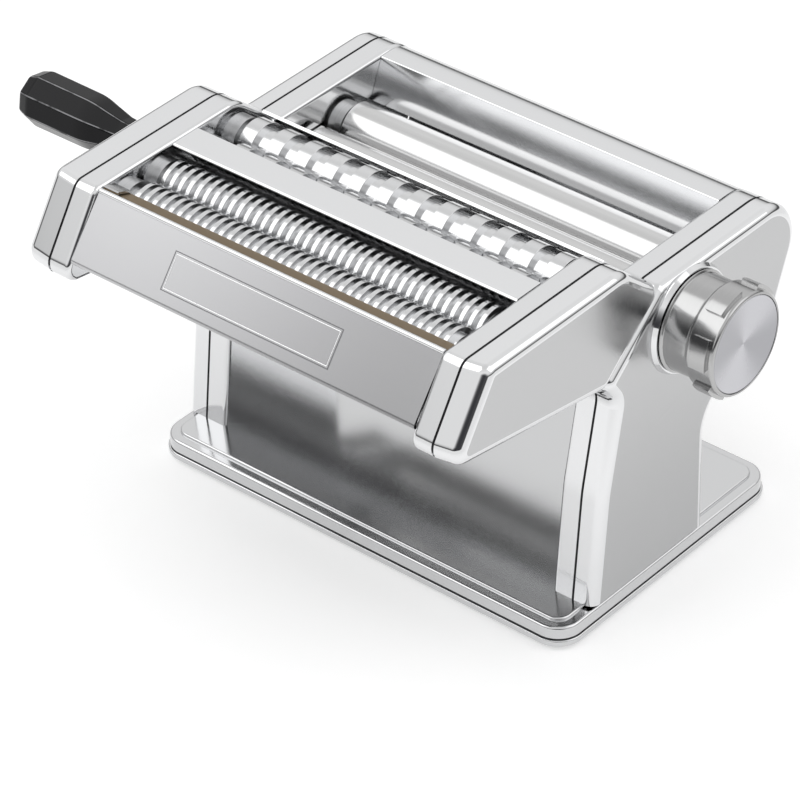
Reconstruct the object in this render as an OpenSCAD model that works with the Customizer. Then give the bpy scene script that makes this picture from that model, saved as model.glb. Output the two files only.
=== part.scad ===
// Hand-cranked dough roller with a clip-on noodle cutter.
// X runs along the rollers (the gauge knob is on +X, the crank on -X), -Y is the cutter side, Z is up.
// The origin is the middle of the base pan's flat underside.

/* [Side walls] */
// How far the bearings stand in from the side walls
bearing_in = 3; // [2:0.1:4]
// Depth of a side wall tray, from its web to its open edge
tray_depth = 9; // [8:0.1:10]
// Thickness of the seal between a side wall and its cover
seal_t = 1; // [0.8:0.1:1.6]
// Sheet thickness of side walls, covers and panels
sheet = 1.2; // [1:0.05:1.4]
// Pressed edge radius of the outer covers
cover_edge_r = 4; // [3:0.1:4.4]
// Pressed edge radius of the side walls
tray_edge_r = 2; // [1.6:0.1:2.6]
// Depth of a body cover
body_cover_depth = 9; // [8.4:0.1:10]
// Depth of the cutter cover on the knob side
cutter_cover_depth = 10; // [9:0.1:11]
// Depth of the cutter cover that holds the gears
gear_cover_depth = 12.5; // [11.5:0.1:13]
// Gap that the side seals are set back from the edges
seal_recess = 1.1; // [0.8:0.1:1.4]

/* [Base] */
// How far the base stands out past the faces of the body
base_margin = 0.5; // [0.2:0.1:10]
// Depth of the base
base_d = 129; // [124:1:140]
// Height of the raised field of the base
base_h = 10; // [9.6:0.1:12]
// Corner radius of the base
base_corner_r = 11; // [10:0.5:16]
// Height of the bottom pan's lip
pan_h = 3.2; // [2.8:0.1:3.6]
// Width of the ledge round the raised field
ledge_w = 4; // [3:0.1:5]
// Height of the step from the ledge to the field
ledge_step = 1.2; // [0.8:0.1:1.5]
// Diameter of a rubber foot
foot_d = 15; // [10:0.5:18]
// How far the feet stand out below the pan
foot_out = 1.5; // [1:0.1:3]
// Distance of the feet from the base edges
foot_inset = 17; // [15:0.5:22]
// Width of the slot for a table clamp
clamp_slot_w = 26; // [20:1:36]
// Depth (front to back) of the clamp slot
clamp_slot_d = 7; // [6:0.5:9]

/* [Body profile] */
// Height of the top of the head
head_top = 131; // [128:0.5:134]
// Rear edge of the leg
leg_rear = 20.5; // [17:0.5:24]
// Front edge of the leg where it meets the base
leg_front = -46.2; // [-50:0.2:-42]
// Height at which the leg widens into the head
leg_top = 62; // [56:0.5:68]
// How far back the head's corner reaches before it is rounded
head_rear = 82.7; // [78:0.1:86]
// Radius of the head's rear corner
head_r = 18; // [14:0.5:20]
// Gap between the cutter and the body along their meeting edge
mate_gap = 0.5; // [0.3:0.05:1]

/* [Cutter profile] */
// Height of the top of the cutter
cutter_top = 150.2; // [148:0.1:153]
// Front lower corner, front to back
toe_y = -127.7; // [-131:0.1:-125]
// Front lower corner, height
toe_z = 118.1; // [114:0.1:119]
// Front upper corner, front to back
chin_y = -106.5; // [-108:0.1:-104]
// How far the cover faces lean back from their rims along the front edge
front_draft = 1.9; // [0:0.1:2.5]
// Rear upper corner, front to back
crest_y = -30; // [-34:0.5:-27]

/* [Sheet rollers] */
// Diameter of a smooth roller
roller_d = 21; // [20:0.1:22]
// Working length of the rollers
roller_l = 152; // [140:1:180]
// End play of the rollers between their bearings
end_play = 1.5; // [0.8:0.1:2.5]
// Height of the roller axes
axis_z = 110.2; // [108:0.1:112]
// Front roller axis, front to back, with the gap fully open
front_axis_y = 7; // [6:0.1:8]
// Roller gap when fully open
gap_open = 2.5; // [2.4:0.05:3]
// Roller gap when fully closed
gap_closed = 0.3; // [0.2:0.05:0.5]
// Diameter of the roller journals
journal_d = 9; // [8:0.1:10]
// Diametral running clearance of shafts in their bores
run_clear = 0.1; // [0.04:0.01:0.16]
// Teeth on each roller gear
roller_teeth = 12; // [10:1:14]
// Thickness of the gears
gear_t = 4; // [3:0.1:4.4]

/* [Gauge knob] */
// Outer diameter of the knob
knob_d = 41; // [36:0.5:44]
// How far the knob stands out of its plate
knob_l = 24; // [22:0.5:28]
// Diameter of the knob's spindle
spindle_d = 8; // [7:0.1:9]
// How far the knob pulls out
knob_pull = 3; // [2:0.1:4]
// Number of gauge positions
gauge_steps = 9; // [7:1:10]
// Angle between two gauge positions
gauge_step_angle = 33.75; // [30:0.25:36]
// Diameter of the index plate
index_d = 43; // [40:0.5:45]
// Thickness of the index plate
index_t = 2.2; // [2:0.1:3]

/* [Crank] */
// Distance between the crank's two axes
crank_arm = 74.5; // [60:0.5:90]
// Angle of the arm above the horizontal
crank_angle = 9.5; // [0:0.5:20]
// Diameter of the crank rod
crank_rod_d = 8; // [7:0.1:8.4]
// Centre line of the arm, outside the gear cover
crank_arm_gap = 6.5; // [5.5:0.1:9]
// Depth of the drive socket
socket_depth = 18; // [14:0.5:22]
// Diameter across the grip's ridges
grip_d = 22.4; // [20:0.2:26]
// Length of the fluted part of the grip
flute_l = 42; // [34:0.5:50]
// Length of the whole grip
grip_l = 59; // [54:0.5:76]
// Number of flats round the grip
grip_flats = 8; // [6:1:10]

/* [Cutting rollers] */
// Outer diameter of a cutting roller
cut_d = 20; // [19.6:0.1:20.4]
// How deep two cutting rollers mesh
cut_mesh = 2; // [1.8:0.1:2.2]
// Width of one noodle
noodle_w = 2; // [1.8:0.05:2.4]
// Width of one ribbon
ribbon_w = 6.5; // [6:0.1:8]
// Side clearance between meshing rings
ring_clear = 0.06; // [0.04:0.01:0.1]
// How much a cutting roller falls short of a smooth one at each end
cut_short = 1; // [0.5:0.1:3]
// Front noodle roller axis, front to back
noodle_y = -89; // [-90:0.2:-88]
// Height of the noodle roller axes
noodle_z = 136; // [135:0.2:137]
// Front ribbon roller axis, front to back
ribbon_y = -46.8; // [-48:0.2:-46]
// Height of the ribbon roller axes
ribbon_z = 133.4; // [133:0.2:135]
// Teeth on each cutter gear
cutter_teeth = 12; // [10:1:14]
// Diameter of the cutting roller journals
cut_journal_d = 10; // [9:0.1:11]
// Diameter of the tie rods
tie_d = 6; // [5:0.1:7]

/* [Hidden] */

chrome = [0.80, 0.81, 0.83];
satin = [0.70, 0.71, 0.72];
steel = [0.62, 0.63, 0.65];
black = [0.06, 0.06, 0.07];
brass = [0.72, 0.60, 0.34];

arc_step = 15;          // turn of one facet round a corner of a pressed outline
edge_step = 22.5;       // turn of one facet round a pressed edge
slip = 0.1;             // gap between parts that are only laid against each other
inner_w = roller_l + 2 * (end_play + bearing_in);
cut_l = roller_l - 2 * cut_short;
wall_x = inner_w / 2;   // inner face of a side wall
seam_x = wall_x + tray_depth;
cover_x = seam_x + seal_t;
body_face_x = cover_x + body_cover_depth;
knob_face_x = cover_x + cutter_cover_depth;
gear_face_x = cover_x + gear_cover_depth;
web_x = wall_x + sheet; // outer face of a side wall's web
base_w = 2 * (body_face_x + base_margin);

// ---- outlines: corners are [y, z, radius], anticlockwise seen from +X ----
function unit(v) = v / norm(v);
function turn(a, b) = a.x * b.y - a.y * b.x;
// Points round one corner, each followed by its outward normal
function corner_arc(a, b, d) =
  let (u = unit([b.x - a.x, b.y - a.y]), w = unit([d.x - b.x, d.y - b.y]),
       ang = atan2(turn(u, w), u * w), s = sign(ang), t = b.z * tan(abs(ang) / 2),
       n = s * [-u.y, u.x], c = [b.x, b.y] - t * u + b.z * n,
       k = max(2, ceil(abs(ang) / arc_step)), a0 = atan2(-n.y, -n.x))
  [for (j = [0:k]) let (q = [cos(a0 + ang * j / k), sin(a0 + ang * j / k)])
    concat(c + b.z * q, s * q)];
function outline(c) = let (m = len(c))
  [for (i = [0:m - 1]) each corner_arc(c[(i + m - 1) % m], c[i], c[(i + 1) % m])];
// Outline that stands on a level line: an inset moves its first and last point along that line
function foot_end(p, a, b) = [p.x, p.y, 1 / unit([b.x - a.x, b.y - a.y]).y, 0];
function standing_outline(c) = let (m = len(c) - 1)
  concat([foot_end(c[0], c[0], c[1])],
    [for (i = [1:m - 1]) each corner_arc(c[i - 1], c[i], c[i + 1])],
    [foot_end(c[m], c[m - 1], c[m])]);
function inset(o, d) = [for (p = o) [p[0] - d * p[2], p[1] - d * p[3]]];

// Side faces of a loft through m rings of n points, from each point to the next up to point number last
function loft_sides(n, m, last) = [for (i = [0:m - 2], j = [0:last]) let (k = (j + 1) % n)
  [(i + 1) * n + j, (i + 1) * n + k, i * n + k, i * n + j]];
function loft_points(rings) = [for (r = rings) for (p = r[1]) [r[0], p.x, p.y]];
// Solid through a list of [x, points] rings, closed by its first and last ring
module loft(rings) {
  n = len(rings[0][1]);
  m = len(rings);
  polyhedron(loft_points(rings), concat(
    [[for (j = [0:n - 1]) j]],
    loft_sides(n, m, n - 1),
    [[for (j = [n - 1:-1:0]) (m - 1) * n + j]]), convexity = 8);
}
// The same with one flat foot between the last and the first point of each ring. Its two ends are fans
// round the point mid, which has the whole outline in sight, and rings that lie across the sheet from
// each other close the foot: first with last, second with last but one, and so on.
module standing_loft(rings, mid) {
  n = len(rings[0][1]);
  m = len(rings);
  polyhedron(
    concat(loft_points(rings), [for (r = [rings[0], rings[m - 1]]) [r[0], mid.x, mid.y]]),
    concat(
      [for (j = [0:n - 1]) [n * m, j, (j + 1) % n]],
      loft_sides(n, m, n - 2),
      [for (j = [0:n - 1]) [n * m + 1, (m - 1) * n + (j + 1) % n, (m - 1) * n + j]],
      [for (i = [0:m / 2 - 2]) let (k = m - 1 - i, f = n - 1)
        [i * n + f, (i + 1) * n + f, (k - 1) * n + f, k * n + f]],
      [for (i = [0:m / 2 - 2]) let (k = m - 1 - i) [k * n, (k - 1) * n, (i + 1) * n, i * n]],
      [[n - 1, m * n - 1, (m - 1) * n, 0]]),
    convexity = 8);
}

// Deep-drawn tray with wall thickness w: open at x0 on outline o, flat face at x1 on outline f,
// edge radius r. Both outlines have the same corners, so that one can be blended into the other.
// One that stands on a level line gets the point mid of its ends.
module pressed_tray(o, f, x0, x1, r, w = sheet, mid = undef) {
  ri = r - w;
  function between(x) = let (t = (x - x0) / (x1 - x0)) (1 - t) * o + t * f;
  rings = concat(
    [for (a = [90:-edge_step:0]) let (x = x1 - r + ri * sin(a)) [x, inset(between(x), r - ri * cos(a))]],
    [[x0, inset(o, w)], [x0, inset(o, 0)]],
    [for (a = [0:edge_step:90]) let (x = x1 - r + r * sin(a)) [x, inset(between(x), r - r * cos(a))]]);
  if (mid == undef) loft(rings);
  else standing_loft(rings, mid);
}

// Prism of a [y, z] shape from x0 to x1
module along_x(x0, x1) {
  translate([x0, 0, 0]) rotate([90, 0, 90]) linear_extrude(x1 - x0) children();
}
// Cylinder along X
module rod_x(x0, x1, y, z, r) {
  translate([x0, y, z]) rotate([0, 90, 0]) cylinder(h = x1 - x0, r = r, $fn = 64);
}
module both_sides() {
  children();
  mirror([1, 0, 0]) children();
}

// Meeting edge of body and cutter, from the body's nose up to its brow
nose = [-39.5, head_top - 26.4];
brow = [-7.5, head_top];
mate_dir = unit(brow - nose);
mate_normal = [-mate_dir.y, mate_dir.x];
heel = nose + mate_gap * mate_normal - 0.5 * mate_dir;
crown = brow + mate_gap * mate_normal;

body_o = standing_outline([
  [leg_rear, base_h], [leg_rear, leg_top, 16],
  [head_rear - 21.7, leg_top + 18, 8], [head_rear, head_top, head_r],
  [brow.x, brow.y, cover_edge_r + 0.6], [nose.x, nose.y, cover_edge_r + 0.6],
  [nose.x + 7, nose.y - 10.1, 8], [nose.x - 1.5, nose.y - 48.6, 60], [leg_front, base_h]]);
body_mid = [(leg_rear + leg_front) / 2, leg_top + 23];
function cutter_outline(lean) = outline([
  [toe_y + lean, toe_z, 6], [heel.x, heel.y, 6], [crown.x, crown.y, 5],
  [crest_y, cutter_top, 14], [chin_y + lean, cutter_top, 5]]);
cutter_o = cutter_outline(0);
cutter_face_o = cutter_outline(front_draft);

// Axes
rear_axis_y = front_axis_y + roller_d + gap_open;
gauge_travel = gap_open - gap_closed;
gauge_turn = (gauge_steps - 1) * gauge_step_angle;
roller_gear_pitch_r = (roller_d + gap_closed) / 2;
cut_space = cut_d - cut_mesh;
core_d = cut_d - 2 * cut_mesh - 0.6;
block_w = 15;
block_h = 14;
block_window = block_w + gauge_travel + 2 * slip;

body_ties = [[-27, axis_z - 9], [50, axis_z - 22]];
cutter_ties = [[-107.5, 131], [-59, 123.8]];
tie_shoulder_r = tie_d / 2 + 1.2;
leg_screws = [[-30, 0], [6, 0]];

// ---- gears ----
// Spur gear section with trapezoidal teeth round the origin; tip and root from the pitch radius
module gear_2d(teeth, pitch_r, tip_r, root_r, phase) {
  p = 360 / teeth;
  polygon([for (i = [0:teeth - 1]) let (a = phase + i * p) each [
    root_r * [cos(a - 0.34 * p), sin(a - 0.34 * p)],
    pitch_r * [cos(a - 0.2 * p), sin(a - 0.2 * p)],
    tip_r * [cos(a - 0.09 * p), sin(a - 0.09 * p)],
    tip_r * [cos(a + 0.09 * p), sin(a + 0.09 * p)],
    pitch_r * [cos(a + 0.2 * p), sin(a + 0.2 * p)],
    root_r * [cos(a + 0.34 * p), sin(a + 0.34 * p)]]]);
}
// Gear on a shaft along X, face towards -X at x1
module gear_x(x0, x1, y, z, teeth, pitch_r, tip_r, root_r, bore_r, phase) {
  difference() {
    translate([0, y, z]) along_x(x0, x1) gear_2d(teeth, pitch_r, tip_r, root_r, phase);
    rod_x(x0 - 1, x1 + 1, y, z, bore_r);
  }
}
// ---- base ----
base_o = outline([for (c = [[-1, -1], [1, -1], [1, 1], [-1, 1]])
  [c.x * base_w / 2, c.y * base_d / 2, base_corner_r]]);
feet = [for (i = [-1, 1], j = [-1, 1])
  [i * (base_w / 2 - foot_inset), j * (base_d / 2 - foot_inset)]];
foot_r = foot_d / 2;
seam_h = 0.6;
base_lip = 0.8;

// Turns a loft that runs along X so that it runs up Z, with the outline in (x, y)
module upright() {
  rotate(a = -120, v = [1, 1, 1]) children();
}
module clamp_slot(z0, z1) {
  translate([-clamp_slot_w / 2, base_d / 2 - ledge_w - 6 - clamp_slot_d, z0])
    cube([clamp_slot_w, clamp_slot_d, z1 - z0]);
}

module base_pan() {
  color(chrome) difference() {
    upright() loft([
      [0, inset(base_o, 1.4)], [0.4, inset(base_o, 0.5)], [1.2, inset(base_o, 0)],
      [pan_h - 0.8, inset(base_o, 0)], [pan_h, inset(base_o, 0.6)], [pan_h, inset(base_o, 3)],
      [sheet, inset(base_o, 3.4)]]);
    for (f = feet) translate([f.x, f.y, -1]) cylinder(h = 10, r = foot_r, $fn = 48);
    for (s = [-1, 1], p = leg_screws)
      translate([s * leg_screw_x, p.x, -1]) cylinder(h = 10, r = 5, $fn = 32);
    clamp_slot(-1, base_h);
  }
}
module base_seal() {
  color(black) difference() {
    upright() loft([
      [pan_h, inset(base_o, seal_recess)], [pan_h + seam_h, inset(base_o, seal_recess)]]);
    upright() loft([
      [pan_h - 1, inset(base_o, 2.6)], [pan_h + seam_h + 1, inset(base_o, 2.6)]]);
  }
}
field_z = base_h;
plate_z = pan_h + seam_h;
leg_screw_x = wall_x + 4.4;
module base_plate() {
  color(chrome) difference() {
    upright() loft([
      [plate_z, inset(base_o, base_lip)],
      [field_z - ledge_step - 0.8, inset(base_o, base_lip + 0.4)],
      [field_z - ledge_step - 0.2, inset(base_o, base_lip + 0.7)],
      [field_z - ledge_step, inset(base_o, base_lip + 1.3)],
      [field_z - ledge_step, inset(base_o, base_lip + ledge_w)],
      [field_z - 0.3, inset(base_o, base_lip + ledge_w + 0.4)],
      [field_z, inset(base_o, base_lip + ledge_w + 1.2)]]);
    upright() loft([
      [plate_z - 1, inset(base_o, base_lip + 1.4)],
      [field_z - ledge_step - sheet, inset(base_o, base_lip + 1.6)],
      [field_z - ledge_step - sheet, inset(base_o, base_lip + ledge_w + 0.6)],
      [field_z - sheet, inset(base_o, base_lip + ledge_w + 1.6)]]);
    for (s = [-1, 1], p = leg_screws)
      translate([s * leg_screw_x, p.x, field_z - 3]) cylinder(h = 5, r = 2.1, $fn = 32);
    clamp_slot(plate_z - 1, base_h + 1);
  }
}
module rubber_feet() {
  color(black) for (f = feet) translate([f.x, f.y, 0]) {
    translate([0, 0, -foot_out]) cylinder(h = 0.8, r1 = foot_r - 0.8, r2 = foot_r, $fn = 48);
    translate([0, 0, 0.8 - foot_out]) cylinder(h = foot_out + sheet - 0.8, r = foot_r, $fn = 48);
    translate([0, 0, sheet]) cylinder(h = 2, r = foot_r + 1.5, $fn = 48);
  }
}
module base_screws() {
  color(steel) for (s = [-1, 1], p = leg_screws) translate([s * leg_screw_x, p.x, 0]) {
    translate([0, 0, field_z - sheet - 2.4]) cylinder(h = 2.4, r = 3.6, $fn = 32);
    translate([0, 0, field_z - sheet]) cylinder(h = sheet + 4, r = 2, $fn = 32);
  }
}

// ---- side walls and covers of the body ----
bush_r = journal_d / 2 + 3;
socket_r = crank_rod_d / 2 + 0.15;
shaft_end_r = socket_r + 1.85;
drive_bush_r = shaft_end_r + 1.6;
lug_w = 12;
lug_l = 7.6;
lug_t = 3;
block_axis = [front_axis_y, axis_z];

module wall_shell(o, mid = undef) {
  translate([wall_x + seam_x, 0, 0]) mirror([1, 0, 0])
    pressed_tray(o, o, wall_x, seam_x, tray_edge_r, mid = mid);
}
module body_wall(rear_bore_r) {
  difference() {
    wall_shell(body_o, body_mid);
    // window in which the bearing block of the front roller slides
    along_x(wall_x - 5, seam_x + 5)
      translate([block_axis.x - block_w / 2 - slip, block_axis.y - block_h / 2 - slip])
        square([block_window, block_h + 2 * slip]);
    rod_x(wall_x - 5, seam_x + 5, rear_axis_y, axis_z, rear_bore_r);
    for (t = body_ties) rod_x(wall_x - 5, seam_x + 5, t.x, t.y, tie_d / 2);
  }
  // turned-in lugs that the base screws hold
  for (p = leg_screws) difference() {
    translate([web_x - sheet / 2, p.x - lug_w / 2, base_h + slip]) cube([lug_l, lug_w, lug_t]);
    translate([leg_screw_x, p.x, base_h - 1]) cylinder(h = lug_t + 2, r = 2, $fn = 32);
  }
}
module right_side_wall() {
  color(chrome) body_wall(bush_r);
}
module left_side_wall() {
  color(chrome) mirror([1, 0, 0]) body_wall(drive_bush_r);
}
module body_cover() {
  pressed_tray(body_o, body_o, cover_x, body_face_x, cover_edge_r, mid = body_mid);
}
module right_body_cover() {
  color(chrome) difference() {
    body_cover();
    rod_x(cover_x, body_face_x + 1, front_axis_y, axis_z, index_boss_r);
  }
}
module left_body_cover() {
  color(chrome) mirror([1, 0, 0]) difference() {
    body_cover();
    rod_x(cover_x, body_face_x + 1, rear_axis_y, axis_z, shaft_end_r + 1);
  }
}
// Dark seal that fills the seam between a side wall and its cover
module seam_ring(o) {
  along_x(seam_x, cover_x) difference() {
    polygon(inset(o, seal_recess));
    polygon(inset(o, seal_recess + 2));
  }
}
module body_seals() {
  color(black) both_sides() seam_ring(body_o);
}

// ---- sheet metal between the walls ----
span_x = wall_x - slip;
inlet_front = -6;
inlet_rear = front_axis_y + 43.8;
guide_foot_z = axis_z + 3.8;
// Outline of a bent sheet of thickness t laid along a path; a positive t lies to the path's left
function bent(p, t) = let (m = len(p) - 1,
    n = [for (i = [0:m - 1]) unit([p[i].y - p[i + 1].y, p[i + 1].x - p[i].x])])
  concat(p, [for (i = [m:-1:0]) let (a = n[max(i - 1, 0)], b = n[min(i, m - 1)])
    p[i] + t * (a + b) / (1 + a * b)]);
function on_line(d, n) = nose + d * mate_dir + n * mate_normal;

rear_o = inset(body_o, 0.8);
module rear_cover() {
  lip = [inlet_rear, head_top - 0.8];
  tail_z = leg_top + 18;
  arc = [for (p = rear_o) if (p.x > inlet_rear + 2 && p.y > tail_z) p];
  path = concat([lip + [-6.8, guide_foot_z - lip.y], lip], [for (i = [len(arc) - 1:-1:0]) arc[i]],
    [[head_rear - 20.9, tail_z]]);
  color(chrome) along_x(-span_x, span_x) polygon(bent(path, -sheet));
}
mate_len = norm(brow - nose);
plate_n = -0.35; // front face of the front cover, behind the meeting edge
module front_cover() {
  top = on_line(mate_len - 1.5, plate_n);
  color(chrome) along_x(-span_x, span_x)
    polygon(bent([[inlet_front, guide_foot_z], [inlet_front, top.y], top, on_line(0.8, plate_n)], sheet));
}
// Turns to the slope of the meeting edge: X along the rollers, Y up the slope, Z towards the cutter
mate_angle = atan2(mate_dir.y, mate_dir.x);
module on_slope() {
  translate([0, nose.x, nose.y]) rotate([mate_angle, 0, 0]) children();
}
rail_len = 10;
rail_start = 1;
rail_stem_w = 1.6;
rail_head_w = 3.2;
rail_stem_h = 2.2;
rail_head_h = 1.8;
rail_clear = 0.3;
hook_w = rail_head_w + 2 * rail_clear + 1.6;
hook_end = rail_start + rail_len + 2.5;
rail_x = span_x - hook_w / 2;
module tee(x, w_stem, w_head, y0, y1, z0, z_stem, z_head) {
  translate([x - w_stem / 2, y0, z0]) cube([w_stem, y1 - y0, z_head - z0]);
  translate([x - w_head / 2, y0, z_stem]) cube([w_head, y1 - y0, z_head - z_stem]);
}
module cutter_rails() {
  color(steel) both_sides() on_slope()
    tee(rail_x, rail_stem_w, rail_head_w, rail_start, rail_start + rail_len,
      plate_n, rail_stem_h, rail_stem_h + rail_head_h);
}
module body_tie_rods() {
  color(steel) for (t = body_ties) {
    rod_x(-wall_x, wall_x, t.x, t.y, tie_shoulder_r);
    rod_x(-web_x - 3, web_x + 3, t.x, t.y, tie_d / 2);
  }
}
module tie_nuts(ties) {
  both_sides() for (t = ties) difference() {
    translate([web_x, t.x, t.y]) rotate([0, 90, 0]) cylinder(h = 3.4, r = tie_d / 2 + 2, $fn = 6);
    rod_x(web_x - 1, web_x + 3, t.x, t.y, tie_d / 2);
  }
}
module body_tie_nuts() {
  color(steel) tie_nuts(body_ties);
}

// ---- smooth rollers ----
bearing_x = wall_x - bearing_in; // inner end of a bearing
journal_end = web_x + 2;
barrel_x = roller_l / 2;
core_r = journal_d / 2 + 1.5;

// Barrel tube with a light chamfer at its ends
module roller_barrel(y) {
  translate([0, y, axis_z]) rotate([0, 90, 0]) rotate_extrude($fn = 96) polygon([
    [core_r, -barrel_x], [roller_d / 2 - 0.5, -barrel_x], [roller_d / 2, -barrel_x + 0.5],
    [roller_d / 2, barrel_x - 0.5], [roller_d / 2 - 0.5, barrel_x], [core_r, barrel_x]]);
}
module rear_roller() {
  color(steel) roller_barrel(rear_axis_y);
}
module rear_roller_shaft() {
  color(steel) difference() {
    union() {
      rod_x(-body_face_x + 1.4, -barrel_x, rear_axis_y, axis_z, shaft_end_r);
      rod_x(-barrel_x, barrel_x, rear_axis_y, axis_z, core_r);
      rod_x(barrel_x, journal_end, rear_axis_y, axis_z, journal_d / 2);
    }
    rod_x(-body_face_x, -body_face_x + 1.4 + socket_depth, rear_axis_y, axis_z, socket_r);
  }
}
gear_x1 = -web_x - 2.4;
module spur(y, z, teeth, pitch_r, add, ded, bore_r, phase) {
  gear_x(gear_x1 - gear_t, gear_x1, y, z, teeth, pitch_r, pitch_r + add, pitch_r - ded, bore_r, phase);
}
module rear_roller_gear() {
  color(brass) spur(rear_axis_y, axis_z, roller_teeth, roller_gear_pitch_r, 1.85, 2.25, shaft_end_r, 0);
}
module rear_roller_bushes() {
  color(brass) {
    difference() {
      union() {
        rod_x(bearing_x, journal_end, rear_axis_y, axis_z, bush_r);
        rod_x(bearing_x, wall_x, rear_axis_y, axis_z, bush_r + 1);
      }
      rod_x(bearing_x - 1, journal_end + 1, rear_axis_y, axis_z, (journal_d + run_clear) / 2);
    }
    difference() {
      union() {
        rod_x(-journal_end, -bearing_x, rear_axis_y, axis_z, drive_bush_r);
        rod_x(-wall_x, -bearing_x, rear_axis_y, axis_z, drive_bush_r + 1);
      }
      rod_x(-journal_end - 1, -bearing_x + 1, rear_axis_y, axis_z, shaft_end_r + run_clear / 2);
    }
  }
}
module front_roller() {
  color(steel) roller_barrel(front_axis_y);
}
module front_roller_shaft() {
  color(steel) {
    rod_x(-gear_end, -barrel_x, front_axis_y, axis_z, journal_d / 2);
    rod_x(-barrel_x, barrel_x, front_axis_y, axis_z, core_r);
    rod_x(barrel_x, cam_pocket_x - 0.3, front_axis_y, axis_z, journal_d / 2);
  }
}
gear_end = -gear_x1 + gear_t + 0.6;
module front_roller_gear() {
  color(brass) spur(front_axis_y, axis_z, roller_teeth, roller_gear_pitch_r, 1.85, 2.25,
    journal_d / 2, 180 / roller_teeth);
}

// ---- gap adjustment ----
cam_min_r = 6;
cam_slack = 0.05;
cam_pocket_x = web_x + 2.3;
cam_t = 2.2;
flange_x = web_x + slip;
pocket_end = cam_pocket_x + cam_t + 0.4;
cam_rise = gauge_travel / gauge_turn;
// Spiral edge of the cam: its radius grows in step with the turn of the knob
function cam_edge(a) = a <= gauge_turn + 12
  ? cam_min_r + cam_rise * max(0, min(a, gauge_turn)) : cam_min_r - 1;

module block_solid() {
  along_x(bearing_x, flange_x)
    translate([front_axis_y - block_w / 2, axis_z - block_h / 2]) square([block_w, block_h]);
}
module bearing_blocks() {
  color(brass) {
    difference() {
      union() {
        block_solid();
        along_x(flange_x, pocket_end) translate([front_axis_y - 12, axis_z - 11]) square([22, 22]);
      }
      rod_x(bearing_x - 1, pocket_end, front_axis_y, axis_z, (journal_d + run_clear) / 2);
      // pocket for the cam; only its rear face is touched
      along_x(cam_pocket_x, pocket_end + 1)
        translate([front_axis_y - cam_min_r - gauge_travel - 1, axis_z - cam_min_r - gauge_travel - 0.6])
          square([2 * cam_min_r + gauge_travel + 1 + cam_slack, 2 * (cam_min_r + gauge_travel + 0.6)]);
    }
    mirror([1, 0, 0]) difference() {
      union() {
        block_solid();
        along_x(flange_x, journal_end) translate([front_axis_y - block_w / 2, axis_z - block_h / 2 - 2])
          square([block_w, block_h + 4]);
      }
      rod_x(bearing_x - 1, journal_end + 1, front_axis_y, axis_z, (journal_d + run_clear) / 2);
    }
  }
}
module gauge_cam() {
  color(steel) difference() {
    translate([0, front_axis_y, axis_z]) along_x(cam_pocket_x + 0.2, cam_pocket_x + 0.2 + cam_t)
      polygon([for (a = [0:6:354]) let (r = cam_edge(a)) r * [cos(-a), sin(-a)]]);
    rod_x(cam_pocket_x, pocket_end + 1, front_axis_y, axis_z, spindle_d / 2 - 1);
  }
}
bracket_x = pocket_end + 1.2;
// Bridge over the cam that carries the inner end of the gauge spindle
module gauge_bracket() {
  color(steel) difference() {
    union() {
      along_x(bracket_x, bracket_x + 1.6) translate([front_axis_y - 6, axis_z - 15]) square([12, 30]);
      for (s = [-1, 1]) along_x(web_x, bracket_x)
        translate([front_axis_y - 6, axis_z + s * 13.3 - 1.7]) square([12, 3.4]);
    }
    rod_x(web_x - 1, bracket_x + 2, front_axis_y, axis_z, (spindle_d + run_clear) / 2);
  }
}

// ---- gauge knob ----
index_boss_r = spindle_d / 2 + 4;
index_x = body_face_x + index_t;
knob_x0 = index_x + 0.3;
knob_x1 = knob_x0 + knob_l;
knob_r = knob_d / 2;
pin_r = 1.2;
pin_circle_r = 13;
groove_depth = 1.4;
hub_x = knob_x0 + 2;
hub_t = 2;
spring_seat = hub_x + hub_t;
spring_head = spring_seat + 7 + knob_pull; // the spring closes up by the pull
spindle_end = spring_head + 2;
recess_n = 6;
recess_depth = 0.9;
recess_angle = 34;

module on_gauge() {
  translate([0, front_axis_y, axis_z]) rotate([0, 90, 0]) children();
}
module gauge_spindle() {
  color(steel) {
    rod_x(cam_pocket_x + 0.2, cam_pocket_x + 0.2 + cam_t, front_axis_y, axis_z, spindle_d / 2 - 1);
    rod_x(cam_pocket_x + 0.2 + cam_t, spring_head, front_axis_y, axis_z, spindle_d / 2);
    rod_x(spring_head, spindle_end, front_axis_y, axis_z, spindle_d / 2 + 3);
  }
}
module index_plate() {
  color(chrome) difference() {
    on_gauge() rotate_extrude($fn = 96) polygon([
      [(spindle_d + run_clear) / 2, cover_x + cover_edge_r], [index_boss_r, cover_x + cover_edge_r],
      [index_boss_r, body_face_x], [index_d / 2, body_face_x], [index_d / 2, body_face_x + 0.5],
      [index_d / 2 - 0.9, index_x], [pin_circle_r + pin_r + 0.5, index_x],
      [pin_circle_r + pin_r + 0.5, index_x - groove_depth],
      [pin_circle_r - pin_r - 0.5, index_x - groove_depth],
      [pin_circle_r - pin_r - 0.5, index_x], [(spindle_d + run_clear) / 2, index_x]]);
    for (i = [0:gauge_steps - 1]) let (a = 90 + i * gauge_step_angle)
      rod_x(body_face_x + 0.3, index_x, front_axis_y + pin_circle_r * cos(a),
        axis_z + pin_circle_r * sin(a), pin_r + 0.2);
  }
}
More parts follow.
